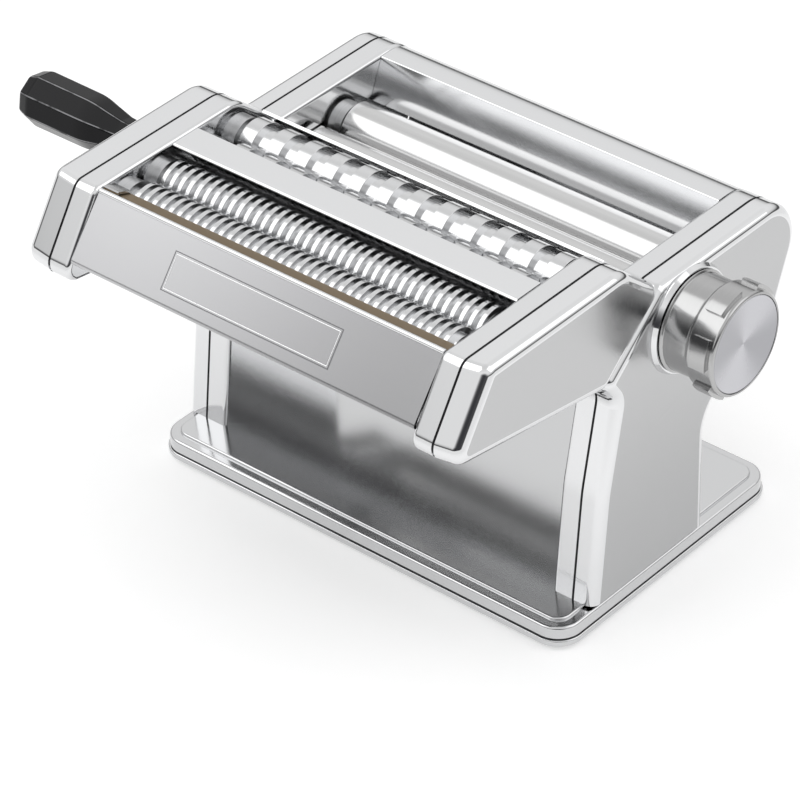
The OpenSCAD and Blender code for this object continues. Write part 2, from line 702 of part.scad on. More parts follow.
module knob_shell() {
  color(chrome) difference() {
    on_gauge() rotate_extrude($fn = 96) polygon([
      [(spindle_d + run_clear) / 2, hub_x], [knob_r - 2.6, hub_x], [knob_r - 2.6, knob_x0],
      [knob_r - 0.7, knob_x0], [knob_r - 0.5, knob_x0 + 0.5], [knob_r - 1.4, knob_x0 + 1],
      [knob_r - 1.4, knob_x0 + 11.4], [knob_r - 0.3, knob_x0 + 12.2], [knob_r, knob_x0 + 13],
      [knob_r, knob_x1 - 1], [knob_r - 0.4, knob_x1 - 0.3], [knob_r - 1.2, knob_x1],
      [knob_r - 1.5, knob_x1], [knob_r - 1.5, knob_x1 - 2], [knob_r - 2.6, knob_x1 - 2],
      [knob_r - 2.6, spring_seat], [(spindle_d + run_clear) / 2, spring_seat]]);
    rod_x(hub_x - 1, spring_seat + 1, front_axis_y, axis_z + pin_circle_r, pin_r);
    // shallow finger recesses round the outer band
    for (i = [0:recess_n - 1]) on_gauge() translate([0, 0, knob_x0 + 14.5])
      rotate([0, 0, i * 360 / recess_n]) rotate_extrude(angle = recess_angle, $fn = 96)
        translate([knob_r - recess_depth, 0]) square([2, knob_l - 17]);
  }
}
// Dished end face: a shallow bowl with a flat rim
module knob_face() {
  face_r = knob_r - 1.5;
  dish_r = face_r - 1.2;
  dish = 1.1;
  sphere_r = (dish_r * dish_r + dish * dish) / (2 * dish);
  color(satin) on_gauge() rotate_extrude($fn = 96) polygon(concat(
    [[0, knob_x1 - 2], [face_r, knob_x1 - 2], [face_r, knob_x1 - 0.4], [face_r - 0.3, knob_x1 - 0.1]],
    [for (i = [8:-1:0]) let (r = dish_r * i / 8)
      [r, knob_x1 - 0.1 - dish + sphere_r - sqrt(sphere_r * sphere_r - r * r)]]));
}
module index_pin() {
  color(steel) rod_x(index_x - groove_depth + 0.3, spring_seat + 1, front_axis_y,
    axis_z + pin_circle_r, pin_r);
}
// Compression spring between the knob's hub and the head of the spindle
module knob_spring() {
  wire_r = 0.55;
  coil_r = spindle_d / 2 + 1.3;
  turns = 5;
  per_turn = 12;
  sides = 6;
  x0 = spring_seat + wire_r + 0.05;
  x1 = spring_head - wire_r - 0.05;
  rings = turns * per_turn;
  color(steel) translate([0, front_axis_y, axis_z]) polyhedron(
    [for (i = [0:rings], j = [0:sides - 1])
      let (a = 360 * i / per_turn, b = 360 * j / sides, r = coil_r + wire_r * cos(b))
        [x0 + (x1 - x0) * i / rings + wire_r * sin(b), r * cos(a), r * sin(a)]],
    concat(
      [[for (j = [0:sides - 1]) j]],
      [for (i = [0:rings - 1], j = [0:sides - 1]) let (k = (j + 1) % sides)
        [(i + 1) * sides + j, (i + 1) * sides + k, i * sides + k, i * sides + j]],
      [[for (j = [sides - 1:-1:0]) rings * sides + j]]));
}

// ---- crank ----
arm_x = -(gear_face_x + crank_arm_gap);
bend_r = 6;
rod_r = crank_rod_d / 2;
grip_x0 = arm_x - bend_r - 2;
grip_bore_depth = grip_l - 7;
collar_t = 2.4;
socket_mouth = -body_face_x + 1.4;
// Crank coordinates: X stays, Y runs from the drive axis along the arm to the grip
module on_crank() {
  translate([0, rear_axis_y, axis_z]) rotate([-crank_angle, 0, 0]) mirror([0, 1, 0]) children();
}
module rod_bend(x, y, a0) {
  translate([x, y, 0]) rotate([0, 0, a0]) rotate_extrude(angle = 90, $fn = 64)
    translate([bend_r, 0]) circle(r = rod_r, $fn = 48);
}
module crank_rod() {
  color(steel) on_crank() {
    rod_x(arm_x + bend_r, socket_mouth + socket_depth - 1, 0, 0, rod_r);
    rod_bend(arm_x + bend_r, bend_r, 180);
    translate([arm_x, bend_r, 0]) rotate([-90, 0, 0])
      cylinder(h = crank_arm - 2 * bend_r, r = rod_r, $fn = 64);
    rod_bend(arm_x - bend_r, crank_arm - bend_r, 0);
    rod_x(grip_x0 - grip_bore_depth + 1, arm_x - bend_r, crank_arm, 0, rod_r);
  }
}
module crank_collar() {
  color(steel) on_crank() difference() {
    rod_x(socket_mouth - collar_t - 0.5, socket_mouth - 0.5, 0, 0, rod_r + 2.5);
    rod_x(socket_mouth - collar_t - 1, socket_mouth, 0, 0, rod_r);
  }
}
module crank_grip() {
  grip_r = grip_d / 2;
  neck_r = grip_r * 0.6;
  ridge_cut = 0.35; // the ridges between the flats are rounded off by this much
  color(black) on_crank() difference() {
    intersection() {
      translate([grip_x0, crank_arm, 0]) rotate([0, -90, 0]) rotate_extrude($fn = 96) polygon([
        [0, 0], [neck_r - 0.6, 0], [neck_r, 0.8], [neck_r + 0.6, grip_l - flute_l - 8],
        [grip_r - 2.2, grip_l - flute_l], [grip_r - 0.3, grip_l - flute_l + 6],
        [grip_r, grip_l - 8], [grip_r - 1, grip_l - 4], [grip_r - 4, grip_l - 1.2],
        [grip_r - 7, grip_l], [0, grip_l]]);
      translate([grip_x0 + 1, crank_arm, 0]) rotate([0, -90, 0]) rotate([0, 0, 180 / grip_flats])
        cylinder(h = grip_l + 2, r = grip_r + ridge_cut, $fn = grip_flats);
    }
    rod_x(grip_x0 - grip_bore_depth, grip_x0 + 1, crank_arm, 0, rod_r + run_clear / 2);
  }
}
module grip_washer() {
  color(steel) on_crank() difference() {
    rod_x(grip_x0 + 0.3, grip_x0 + 1.5, crank_arm, 0, rod_r + 2);
    rod_x(grip_x0, grip_x0 + 2, crank_arm, 0, rod_r);
  }
}

// ---- cutter housing ----
cut_bush_r = cut_journal_d / 2 + 2.5;
cut_drive_r = socket_r + 1.85;
cut_drive_bush_r = cut_drive_r + 1.8;
noodle_axes = [[noodle_y, noodle_z], [noodle_y + cut_space, noodle_z]];
ribbon_axes = [[ribbon_y, ribbon_z], [ribbon_y + cut_space, ribbon_z]];
cut_axes = concat(noodle_axes, ribbon_axes);

module cutter_wall(bore_r) {
  difference() {
    wall_shell(cutter_o);
    for (a = cut_axes) rod_x(wall_x - 5, seam_x + 5, a.x, a.y, bore_r);
    for (t = cutter_ties) rod_x(wall_x - 5, seam_x + 5, t.x, t.y, tie_d / 2);
  }
}
module right_cutter_wall() {
  color(chrome) cutter_wall(cut_bush_r);
}
module left_cutter_wall() {
  color(chrome) mirror([1, 0, 0]) cutter_wall(cut_drive_bush_r);
}
module right_cutter_cover() {
  color(chrome) pressed_tray(cutter_o, cutter_face_o, cover_x, knob_face_x, cover_edge_r);
}
// The crank goes in through this cover's two holes
module left_cutter_cover() {
  color(chrome) mirror([1, 0, 0]) difference() {
    pressed_tray(cutter_o, cutter_face_o, cover_x, gear_face_x, cover_edge_r);
    for (a = [noodle_axes[1], ribbon_axes[1]])
      rod_x(cover_x, gear_face_x + 1, a.x, a.y, cut_drive_r + 0.8);
  }
}
module cutter_seals() {
  color(black) both_sides() seam_ring(cutter_o);
}
module cutter_tie_rods() {
  color(steel) for (t = cutter_ties) {
    rod_x(-wall_x, wall_x, t.x, t.y, tie_shoulder_r);
    rod_x(-web_x - 3, web_x + 3, t.x, t.y, tie_d / 2);
  }
}
module cutter_tie_nuts() {
  color(steel) tie_nuts(cutter_ties);
}
module flanged_bush(a, bush_radius, bore_r) {
  difference() {
    union() {
      rod_x(bearing_x, journal_end, a.x, a.y, bush_radius);
      rod_x(bearing_x, wall_x, a.x, a.y, bush_radius + 0.9);
    }
    rod_x(bearing_x - 1, journal_end + 1, a.x, a.y, bore_r);
  }
}
module cutter_bushes() {
  color(brass) for (a = cut_axes) {
    flanged_bush(a, cut_bush_r, (cut_journal_d + run_clear) / 2);
    mirror([1, 0, 0]) flanged_bush(a, cut_drive_bush_r, cut_drive_r + run_clear / 2);
  }
}

// Panel between the walls, from its rolled top lip to its bottom flange
panel_top = [chin_y + 1.6, cutter_top - 1.3];
panel_foot = [toe_y + 4.8, toe_z + 7.8];
module front_panel() {
  color(satin) {
    along_x(-span_x, span_x) polygon(bent([panel_foot + [5, -1.4], panel_foot, panel_top], -sheet));
    rod_x(-span_x, span_x, panel_top.x + 0.4, panel_top.y - 0.3, 1.1);
  }
}
// Guide between the panel's lip and the front noodle roller
module guide_strip() {
  color(brass) {
    along_x(-span_x, span_x)
      polygon(bent([[noodle_y - 7.7, noodle_z + 7.6], panel_top + [2.2, -1.2]], -1));
    along_x(-span_x, -cut_l / 2 + 2)
      polygon(bent([[noodle_y - 8.2, noodle_z + 8.8], panel_top + [2.6, 0]], -1));
  }
}
// Back plate that the ribbons slide down, between the hooks, and its folded upper edge
module cutter_rear_panel() {
  gap = 0.9;
  fold = on_line(mate_len - 2, gap);
  color(chrome) {
    along_x(-span_x, span_x)
      polygon(bent([on_line(hook_end, gap), fold, [crest_y + 12.5, cutter_top - 11.4]], sheet));
    along_x(-rail_x + hook_w / 2 + slip, rail_x - hook_w / 2 - slip)
      polygon(bent([on_line(0.5, gap), on_line(hook_end, gap)], sheet));
  }
}
// Divider between the two cutting pairs
module cutter_bridge() {
  y = (noodle_axes[1].x + ribbon_axes[0].x) / 2;
  color(chrome) along_x(-span_x, span_x)
    polygon([[y - 1.2, noodle_z + 3], [y + 1.2, noodle_z + 3], [y + 7.2, cutter_top - 1.6],
      [y + 6.6, cutter_top - 0.9], [y - 6.6, cutter_top - 0.9], [y - 7.2, cutter_top - 1.6]]);
}
// Channels that slide down over the rails and close at their upper ends
module cutter_hooks() {
  hook_gap = 0.5;
  color(steel) both_sides() on_slope() difference() {
    translate([rail_x - hook_w / 2, rail_start, hook_gap])
      cube([hook_w, hook_end - rail_start, rail_stem_h + rail_head_h + rail_clear + 0.7 - hook_gap]);
    tee(rail_x, rail_stem_w + 2 * rail_clear, rail_head_w + 2 * rail_clear,
      rail_start - 1, rail_start + rail_len + rail_clear,
      0, rail_stem_h - rail_clear, rail_stem_h + rail_head_h + rail_clear);
  }
}

// ---- cutting rollers ----
cut_r = cut_d / 2;
core_cut_r = core_d / 2;
finger_clear = 0.3;
// Ring centres on the first roller of a pair, and on its mate half a pitch away
function odd_centres(w) = let (p = 2 * w, k = floor((cut_l / 2 - w / 2) / p)) [for (i = [-k:k]) i * p];
function even_centres(w) = let (p = 2 * w, k = floor((cut_l / 2 - w / 2) / p + 0.5))
  [for (i = [-k:k - 1]) (i + 0.5) * p];

module cutting_roller(a, centres, w, left_end) {
  h = w / 2 - ring_clear;
  translate([0, a.x, a.y]) rotate([0, 90, 0]) rotate_extrude($fn = 64) polygon(concat(
    [[0, -left_end], [cut_drive_r, -left_end], [cut_drive_r, -cut_l / 2], [core_cut_r, -cut_l / 2]],
    [for (c = centres) each [[core_cut_r, c - h], [cut_r, c - h], [cut_r, c + h], [core_cut_r, c + h]]],
    [[core_cut_r, cut_l / 2], [cut_journal_d / 2, cut_l / 2], [cut_journal_d / 2, journal_end],
      [0, journal_end]]));
}
// Driven roller: its long left end holds the crank's socket
drive_end = gear_face_x - 1.4;
module driven_roller(a, centres, w) {
  difference() {
    cutting_roller(a, centres, w, drive_end);
    rod_x(-drive_end - 1, -drive_end + socket_depth, a.x, a.y, socket_r);
  }
}
module noodle_roller_front() {
  color(steel) cutting_roller(noodle_axes[0], odd_centres(noodle_w), noodle_w, gear_end);
}
module noodle_roller_rear() {
  color(steel) driven_roller(noodle_axes[1], even_centres(noodle_w), noodle_w);
}
module ribbon_roller_front() {
  color(steel) cutting_roller(ribbon_axes[0], odd_centres(ribbon_w), ribbon_w, gear_end);
}
module ribbon_roller_rear() {
  color(steel) driven_roller(ribbon_axes[1], even_centres(ribbon_w), ribbon_w);
}
module cutter_spur(a, phase) {
  color(brass) spur(a.x, a.y, cutter_teeth, cut_space / 2, 1.35, 1.75, cut_drive_r, phase);
}
module noodle_gear_front() {
  cutter_spur(noodle_axes[0], 0);
}
module noodle_gear_rear() {
  cutter_spur(noodle_axes[1], 180 / cutter_teeth);
}
module ribbon_gear_front() {
  cutter_spur(ribbon_axes[0], 0);
}
module ribbon_gear_rear() {
  cutter_spur(ribbon_axes[1], 180 / cutter_teeth);
}

// Outline of a comb's finger from its roller's axis, for a comb that points to +Y
comb_finger = [[-3.4, -cut_r - 2.6], [-6.2, -6], [0, -4], [7, -5.5], [5, -9.5], [0.4, -cut_r - 2.6]];
// Comb under one roller: a bar from wall to wall, with a finger in each groove; out is -1 or 1
module comb(a, out, centres, w, reach) {
  color(steel) {
    along_x(-span_x, span_x) translate([a.x + out * -1.5 - 2, a.y - cut_r - 6]) square([4, 3.5]);
    for (c = centres) if (abs(c) < reach)
      along_x(c - w / 2 + finger_clear, c + w / 2 - finger_clear) translate([a.x, a.y]) difference() {
        polygon([for (p = comb_finger) [out * p.x, p.y]]);
        circle(r = core_cut_r + finger_clear, $fn = 64);
      }
  }
}
module noodle_combs() {
  comb(noodle_axes[0], -1, even_centres(noodle_w), noodle_w, cut_l / 2 - 2 * noodle_w);
  comb(noodle_axes[1], 1, odd_centres(noodle_w), noodle_w, cut_l / 2);
}
module ribbon_combs() {
  comb(ribbon_axes[0], -1, even_centres(ribbon_w), ribbon_w, cut_l / 2 - ribbon_w);
  comb(ribbon_axes[1], 1, odd_centres(ribbon_w), ribbon_w, cut_l / 2);
}

// ---- scrapers under the smooth rollers ----
scraper_clear = 0.3;
scraper_angle = 38; // how far below the axis the blade meets the roller, from straight down
module scraper_blade(y, out, x_end) {
  e = roller_d / 2 + scraper_clear;
  edge = [y + out * e * sin(scraper_angle), axis_z - e * cos(scraper_angle)];
  along_x(-x_end, x_end)
    polygon([edge, edge + [out * 1.4, -0.4], edge + [out * 4.4, -7], edge + [out * 3, -7]]);
}
module rear_scraper() {
  color(steel) scraper_blade(rear_axis_y, 1, span_x);
}
// Hangs between the two bearing blocks and moves with them
module front_scraper() {
  color(steel) {
    scraper_blade(front_axis_y, -1, bearing_x);
    both_sides() along_x(barrel_x + 0.4, bearing_x)
      translate([front_axis_y - 9, axis_z - 11]) square([5, 6.4]);
  }
}

base_plate();
base_pan();
base_seal();
rubber_feet();
base_screws();
left_side_wall();
right_side_wall();
left_body_cover();
right_body_cover();
body_seals();
rear_cover();
front_cover();
body_tie_rods();
body_tie_nuts();
gauge_bracket();
rear_scraper();
rear_roller_bushes();
index_plate();
cutter_rails();
rear_roller();
rear_roller_shaft();
rear_roller_gear();
bearing_blocks();
front_scraper();
front_roller();
front_roller_shaft();
front_roller_gear();
gauge_spindle();
gauge_cam();
knob_shell();
knob_face();
index_pin();
knob_spring();
crank_rod();
crank_collar();
crank_grip();
grip_washer();
left_cutter_wall();
right_cutter_wall();
left_cutter_cover();
right_cutter_cover();
cutter_seals();
front_panel();
cutter_rear_panel();
cutter_bridge();
guide_strip();
cutter_hooks();
cutter_tie_rods();
cutter_tie_nuts();
cutter_bushes();
noodle_combs();
ribbon_combs();
noodle_roller_front();
noodle_roller_rear();
noodle_gear_front();
noodle_gear_rear();
ribbon_roller_front();
ribbon_roller_rear();
ribbon_gear_front();
ribbon_gear_rear();
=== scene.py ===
"""Looks of the hand-cranked dough roller with its clip-on noodle cutter."""
import math
import bpy
import bmesh
from mathutils import Matrix, Vector


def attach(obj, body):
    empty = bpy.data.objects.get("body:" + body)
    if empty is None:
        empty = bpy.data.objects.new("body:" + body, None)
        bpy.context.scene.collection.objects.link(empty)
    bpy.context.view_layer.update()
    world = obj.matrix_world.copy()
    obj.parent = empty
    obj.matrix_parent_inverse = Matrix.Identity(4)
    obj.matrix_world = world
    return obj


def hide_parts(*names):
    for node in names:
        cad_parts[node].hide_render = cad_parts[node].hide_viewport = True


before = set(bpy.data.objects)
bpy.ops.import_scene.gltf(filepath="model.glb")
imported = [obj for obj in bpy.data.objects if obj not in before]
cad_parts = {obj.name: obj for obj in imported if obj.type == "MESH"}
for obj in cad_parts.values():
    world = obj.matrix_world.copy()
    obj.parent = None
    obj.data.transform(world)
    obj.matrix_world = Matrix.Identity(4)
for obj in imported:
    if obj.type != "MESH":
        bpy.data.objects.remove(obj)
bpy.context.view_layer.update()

MM = 0.001
X = Vector((1, 0, 0))

# ---- sizes of the machine, in mm ----
SHEET = 1.2
WALL_X, SPAN_X, SEAM_X, COVER_X = 80.5, 80.4, 89.5, 90.5
BODY_FACE, KNOB_SIDE_FACE, GEAR_SIDE_FACE = 99.5, 100.5, 103.0
COVER_EDGE, TRAY_EDGE = 4.0, 2.0
# where the drills through the covers and the walls start and end along X
BODY_DRILL, CUTTER_DRILL, WALL_DRILL = (95, 101), (98, 104), (78, 84)
FRONT_LEAN = 1.9
BASE_W, BASE_D, BASE_TOP, BASE_CORNER = 200.0, 129.0, 10.0, 11.0
AXIS_Z, FRONT_AXIS_Y, REAR_AXIS_Y = 110.2, 7.0, 30.5
FLOOR_Z = -1.5
# driven roller of each cutting pair as [y, z]; the other roller of the pair lies PAIR_GAP in front
NOODLE_DRIVE, RIBBON_DRIVE, PAIR_GAP = (-71.0, 136.0), (-28.8, 133.4), 18.0
NOODLE_W, RIBBON_W = 2.0, 6.5
RING_R, CORE_R, CUT_END, RING_SLIP = 10.0, 7.7, 75.0, 0.06
SOCKET_R, SOCKET_DEPTH = 4.15, 18.0
ROLLER_R, ROLLER_END = 10.5, 76.0
PLATE_INSET, PLATE_FOOT, PLATE_TOP, PAN_TOP = 0.8, 3.8, 8.8, 3.2
BASE_EDGE, LEDGE = 1.3, 2.9
FOOT_INSET, FOOT_HOLE_R = 17.0, 7.5
CLAMP_SLOT = ((-13, 47.5), (13, 54.5))
LIP_R, LIP_SPOT = 1.1, (-104.5, 148.6)
GUIDE_SHEET, BRACKET_END, TONGUE_END = 0.9, -73.2, 74.6
# bearing window of the side walls: reach in front of, behind, and above and below the axis
WINDOW = (7.7, 9.8, 7.6)
RECESSES, RECESS_SPAN = 6, 34.0
GRIP_AXIS, GRIP_X0, GRIP_TURN = (-42.978, 122.496), -117.5, 13.0

# ends [y, z] of the sloping face where the cutter sits on the body, its run and its outward side
NOSE, BROW = Vector((-39.5, 104.6)), Vector((-7.5, 131.0))
MATE = (BROW - NOSE).normalized()
MATE_OUT = Vector((-MATE.y, MATE.x))
HEEL = NOSE + 0.5 * MATE_OUT - 0.5 * MATE
CROWN = BROW + 0.5 * MATE_OUT

# corners [y, z, radius] of the body and cutter outlines; the body's leg runs on below the base top
BODY = [(-47.1, 2, 0), (20.5, 2, 0), (20.5, 62, 16), (61, 80, 8), (82.6, 131, 18),
        (BROW.x, BROW.y, 4.6), (NOSE.x, NOSE.y, 4.6), (-32.5, 94.5, 8), (-41, 56, 60)]
CUTTER = [(-127.7, 118.1, 6), (HEEL.x, HEEL.y, 6), (CROWN.x, CROWN.y, 5),
          (-30, 150.2, 14), (-106.5, 150.2, 5)]
# the cutter's two front corners lie further back on the outer faces
LEANING = {0: FRONT_LEAN, 4: FRONT_LEAN}


# ---- finishes ----
class Signal:
    """A number that varies over a surface, with the sums that the finishes use."""

    def __init__(self, finish, socket):
        self.finish, self.socket = finish, socket

    def __add__(self, other):
        return self.finish.maths("ADD", self, other)

    def __sub__(self, other):
        return self.finish.maths("SUBTRACT", self, other)

    def __rsub__(self, other):
        return self.finish.maths("SUBTRACT", other, self)

    def __mul__(self, other):
        return self.finish.maths("MULTIPLY", self, other)

    def __abs__(self):
        return self.finish.maths("ABSOLUTE", self)

    __radd__ = __add__
    __rmul__ = __mul__


class Nodes:
    """A node tree and the ways to add to it."""

    def __init__(self, tree, output):
        self.tree = tree
        self.tree.nodes.clear()
        self.output = tree.nodes.new(output)

    def surface(self, shader):
        self.plug(self.output.inputs["Surface"], shader)

    def shown(self):
        """1 for rays that come from the camera or from metal or glass, 0 for light."""
        rays = [self.node("ShaderNodeLightPath", out=f"Is {kind} Ray")
                for kind in ("Camera", "Glossy", "Transmission")]
        return self.maths("MAXIMUM", self.maths("MAXIMUM", rays[0], rays[1]), rays[2])

    def plug(self, socket, value):
        """Links a signal to a socket, or sets the socket to a plain value."""
        if isinstance(value, Signal):
            self.tree.links.new(value.socket, socket)
        else:
            socket.default_value = value

    def node(self, kind, settings=None, out=0, **inputs):
        """Adds a node; an input is given by its name, or as iN by its number."""
        made = self.tree.nodes.new(kind)
        for key, value in (settings or {}).items():
            if key == "stops":
                ramp = made.color_ramp
                while len(ramp.elements) < len(value):
                    ramp.elements.new(0.5)
                for element, (at, grey) in zip(ramp.elements, value):
                    element.position = at
                    element.color = (grey, grey, grey, 1)
            else:
                setattr(made, key, value)
        for key, value in inputs.items():
            name = int(key[1:]) if key[0] == "i" and key[1:].isdigit() else key.replace("_", " ")
            self.plug(made.inputs[name], value)
        return Signal(self, made.outputs[out])

    def maths(self, operation, *values):
        inputs = {f"i{n}": value for n, value in enumerate(values)}
        return self.node("ShaderNodeMath", {"operation": operation}, **inputs)

    def part(self, axis, vector):
        """One axis of a vector."""
        return self.node("ShaderNodeSeparateXYZ", out=axis, Vector=vector)

    def place(self, scale=(1, 1, 1), spot=(0, 0, 0)):
        """Position on the piece, moved by -spot and stretched."""
        coords = self.node("ShaderNodeTexCoord", out="Object")
        moved = self.node("ShaderNodeVectorMath", {"operation": "SUBTRACT"}, i0=coords, i1=spot)
        return self.node("ShaderNodeVectorMath", {"operation": "MULTIPLY"}, i0=moved, i1=scale)

    def noise(self, scale, stretch=(1, 1, 1), detail=3.0):
        return self.node("ShaderNodeTexNoise", Vector=self.place(stretch), Scale=scale,
                         Detail=detail)

    def band(self, value, low, high):
        """0 below low, 1 above high, eased between."""
        return self.node("ShaderNodeMapRange", {"interpolation_type": "SMOOTHSTEP"}, Value=value,
                         From_Min=low, From_Max=high)

    def blend(self, mask, first, second):
        """Colour that goes from first to second with the mask."""
        return self.node("ShaderNodeMix", {"data_type": "RGBA"}, out=2, i0=mask,
                         i6=(*first, 1) if isinstance(first, tuple) else first,
                         i7=(*second, 1) if isinstance(second, tuple) else second)


class Finish(Nodes):
    """A material built from one shader and the nodes that feed it."""

    def __init__(self, name, base, roughness, metallic=0.0, **fixed):
        self.material = bpy.data.materials.new(name)
        self.material.use_nodes = True
        super().__init__(self.material.node_tree, "ShaderNodeOutputMaterial")
        self.shader = self.tree.nodes.new("ShaderNodeBsdfPrincipled")
        self.principled = Signal(self, self.shader.outputs[0])
        self.surface(self.principled)
        self.set("Base Color", (*base, 1))
        self.set("Roughness", roughness)
        self.set("Metallic", metallic)
        for key, value in fixed.items():
            self.set(key.replace("_", " "), value)

    def set(self, key, value):
        self.plug(self.shader.inputs[key], value)

    def bump(self, height, strength, distance):
        self.set("Normal", self.node("ShaderNodeBump", Height=height, Strength=strength,
                                     Distance=distance))


def polished(name, tone, roughness, smudge=0.05):
    """Bright plated steel with faint handling marks."""
    made = Finish(name, (tone, tone * 1.005, tone * 1.015), roughness, 1.0)
    made.set("Roughness", made.noise(38.0) * smudge + (roughness - smudge / 2))
    return made.material


def brushed(name, tone, roughness, along, grain=0.08):
    """Metal with fine drawn lines; along says how the lines stretch."""
    made = Finish(name, (tone, tone * 1.005, tone * 1.015), roughness, 1.0)
    lines = made.noise(1.0, along, 4.0)
    made.set("Roughness", lines * grain + (roughness - grain / 2))
    shade = made.blend(lines, (tone * 0.93,) * 3, (min(1, tone * 1.06),) * 3)
    made.set("Base Color", shade)
    made.bump(lines, 0.06, 0.0001)
    return made.material


def moulded(name, colour, roughness, grain=0.0):
    """Plastic or rubber; grain is how much its roughness varies."""
    made = Finish(name, colour, roughness)
    if grain:
        made.set("Roughness", made.noise(260.0) * grain + (roughness - grain / 2))
    return made.material


def front_panel_finish():
    """Satin panel with an empty engraved frame, a dark line of painted shade beside a pale line of
    painted highlight, and painted shade that darkens it towards +X.
    """
    frame_middle, frame_half_w, frame_half_h, line_gap = 0.0153, 0.0391, 0.0074, 0.0009
    made = Finish("front_panel_satin", (0.60, 0.60, 0.61), 0.24, 1.0)
    lines = made.noise(1.0, (60, 2600, 2600), 3.0)
    made.set("Roughness", lines * 0.06 + 0.21)
    # down the slope from the top lip, and along the rollers, in metres
    slope = Vector((0, -18, -23)).normalized()
    spot = made.place(spot=(0, -0.1049, 0.1489))
    down = made.node("ShaderNodeVectorMath", {"operation": "DOT_PRODUCT"}, out="Value",
                     i0=spot, i1=tuple(slope))
    side = made.part("X", spot)
    edge = made.maths("MAXIMUM", abs(side) - frame_half_w,
                      abs(down - frame_middle) - frame_half_h)
    groove = made.band(abs(edge), 0.00022, 0.00008)
    inner = made.band(abs(edge + line_gap), 0.0002, 0.00006)
    cut = made.maths("MAXIMUM", groove, inner)
    # painted shade: the panel's colour darkens from -X towards +X
    tone = made.blend(made.band(side, -0.08, 0.08), (0.52, 0.52, 0.53), (0.27, 0.27, 0.275))
    # painted shade: the groove line is coloured dark
    groove_shaded = made.blend(groove, tone, (0.13, 0.13, 0.135))
    # painted highlight: a pale line just inside the groove
    made.set("Base Color", made.blend(inner, groove_shaded, (0.97, 0.97, 0.98)))
    made.bump(1 - cut, 0.5, 0.0002)
    return made.material


def grip_finish():
    """Glossy black moulding, with a painted highlight along its eight edges, broken up by noise.
    """
    made = Finish("grip_black", (0.005, 0.005, 0.006), 0.16, Specular_IOR_Level=0.18)
    spot = made.place(spot=(0, GRIP_AXIS[0] * MM, GRIP_AXIS[1] * MM))
    angle = made.maths("ARCTAN2", made.part("Z", spot), made.part("Y", spot))
    # flats counted round the grip, each edge half-way between two whole numbers
    flats = angle * (4 / math.pi) + (4.5 - GRIP_TURN / 45)
    edge = made.band(abs(made.maths("FRACT", flats) - 0.5), 0.045, 0.012)
    # painted highlight: paler colour along the edges, in patches
    edge_highlight = edge * made.band(made.noise(160.0), 0.3, 0.55)
    made.set("Base Color", made.blend(edge_highlight, (0.005, 0.005, 0.006), (0.30, 0.30, 0.31)))
    made.set("Roughness", made.noise(420.0) * 0.05 + 0.13)
    return made.material


def knob_face_finish():
    """Dished satin end with a soft painted sheen that fans from the middle, lighter in colour and
    rougher there.
    """
    made = Finish("knob_face_satin", (0.6, 0.6, 0.62), 0.26, 1.0)
    spot = made.place(spot=(0.125, FRONT_AXIS_Y * MM, AXIS_Z * MM))
    angle = made.maths("ARCTAN2", made.part("Y", spot), made.part("Z", spot))
    fan = made.band(made.maths("SINE", angle * 2 + 0.6), -1.0, 1.0)
    rings = made.noise(1.0, (1, 1500, 1500), 2.0)
    made.set("Roughness", rings * 0.06 + fan * 0.12 + 0.16)
    # painted sheen: the colour is lighter along the fan
    made.set("Base Color", made.blend(fan, (0.37, 0.37, 0.39), (0.55, 0.55, 0.575)))
    made.bump(rings, 0.03, 0.0001)
    return made.material


def cover_finish():
    """Satin plating of the side covers, with painted shade that makes it a little darker towards
    the foot of the leg.
    """
    made = Finish("cover_satin", (0.5, 0.5, 0.5), 0.24, 1.0)
    lines = made.noise(1.0, (900, 70, 2200), 4.0)
    wide = made.noise(9.0, (1, 1, 0.5), 1.0)
    made.set("Roughness", lines * 0.06 + wide * 0.1 + 0.15)
    height = made.part("Z", made.place())
    # painted shade: darker low down, lighter higher up
    tone = made.blend(made.band(height, 0.03, 0.12), (0.42, 0.422, 0.426), (0.485, 0.487, 0.491))
    made.set("Base Color", made.blend(wide * 0.5, tone, (0.58, 0.582, 0.586)))
    # soft line where the leg meets the head
    along = made.part("Y", made.place())
    crease = made.band(abs(height - 0.0735 - (along + 0.01) * 0.22), 0.0012, 0.0)
    made.bump(crease * made.band(along, 0.016, 0.006) + lines * 0.02, 0.12, 0.0004)
    return made.material


CHROME = polished("chrome", 0.74, 0.07)
COVER_FACE = cover_finish()
TRAY = polished("tray_chrome", 0.72, 0.12)
BASE_METAL = polished("base_chrome", 0.62, 0.14)
BARREL = brushed("roller_steel", 0.62, 0.16, (30, 2500, 2500))
TOOTH = polished("cutter_steel", 0.66, 0.17)
SCREW = polished("screw_steel", 0.55, 0.25)
SHAFT = brushed("shaft_steel", 0.55, 0.22, (30, 1500, 1500))
BUSH = polished("bush_bronze", 0.5, 0.3)
# tan metal colour of the guide strip
GUIDE = Finish("guide_tan", (0.36, 0.27, 0.17), 0.35, 1.0).material
SEAL = moulded("seal_rubber", (0.012, 0.012, 0.014), 0.5, grain=0.08)
FOOT = moulded("foot_rubber", (0.02, 0.02, 0.022), 0.7, grain=0.1)
GRIP = grip_finish()
COMB = moulded("comb_black", (0.02, 0.02, 0.022), 0.4)
KNOB_METAL = brushed("knob_steel", 0.45, 0.17, (2200, 40, 40), 0.06)
KNOB_FACE = knob_face_finish()
PANEL = front_panel_finish()

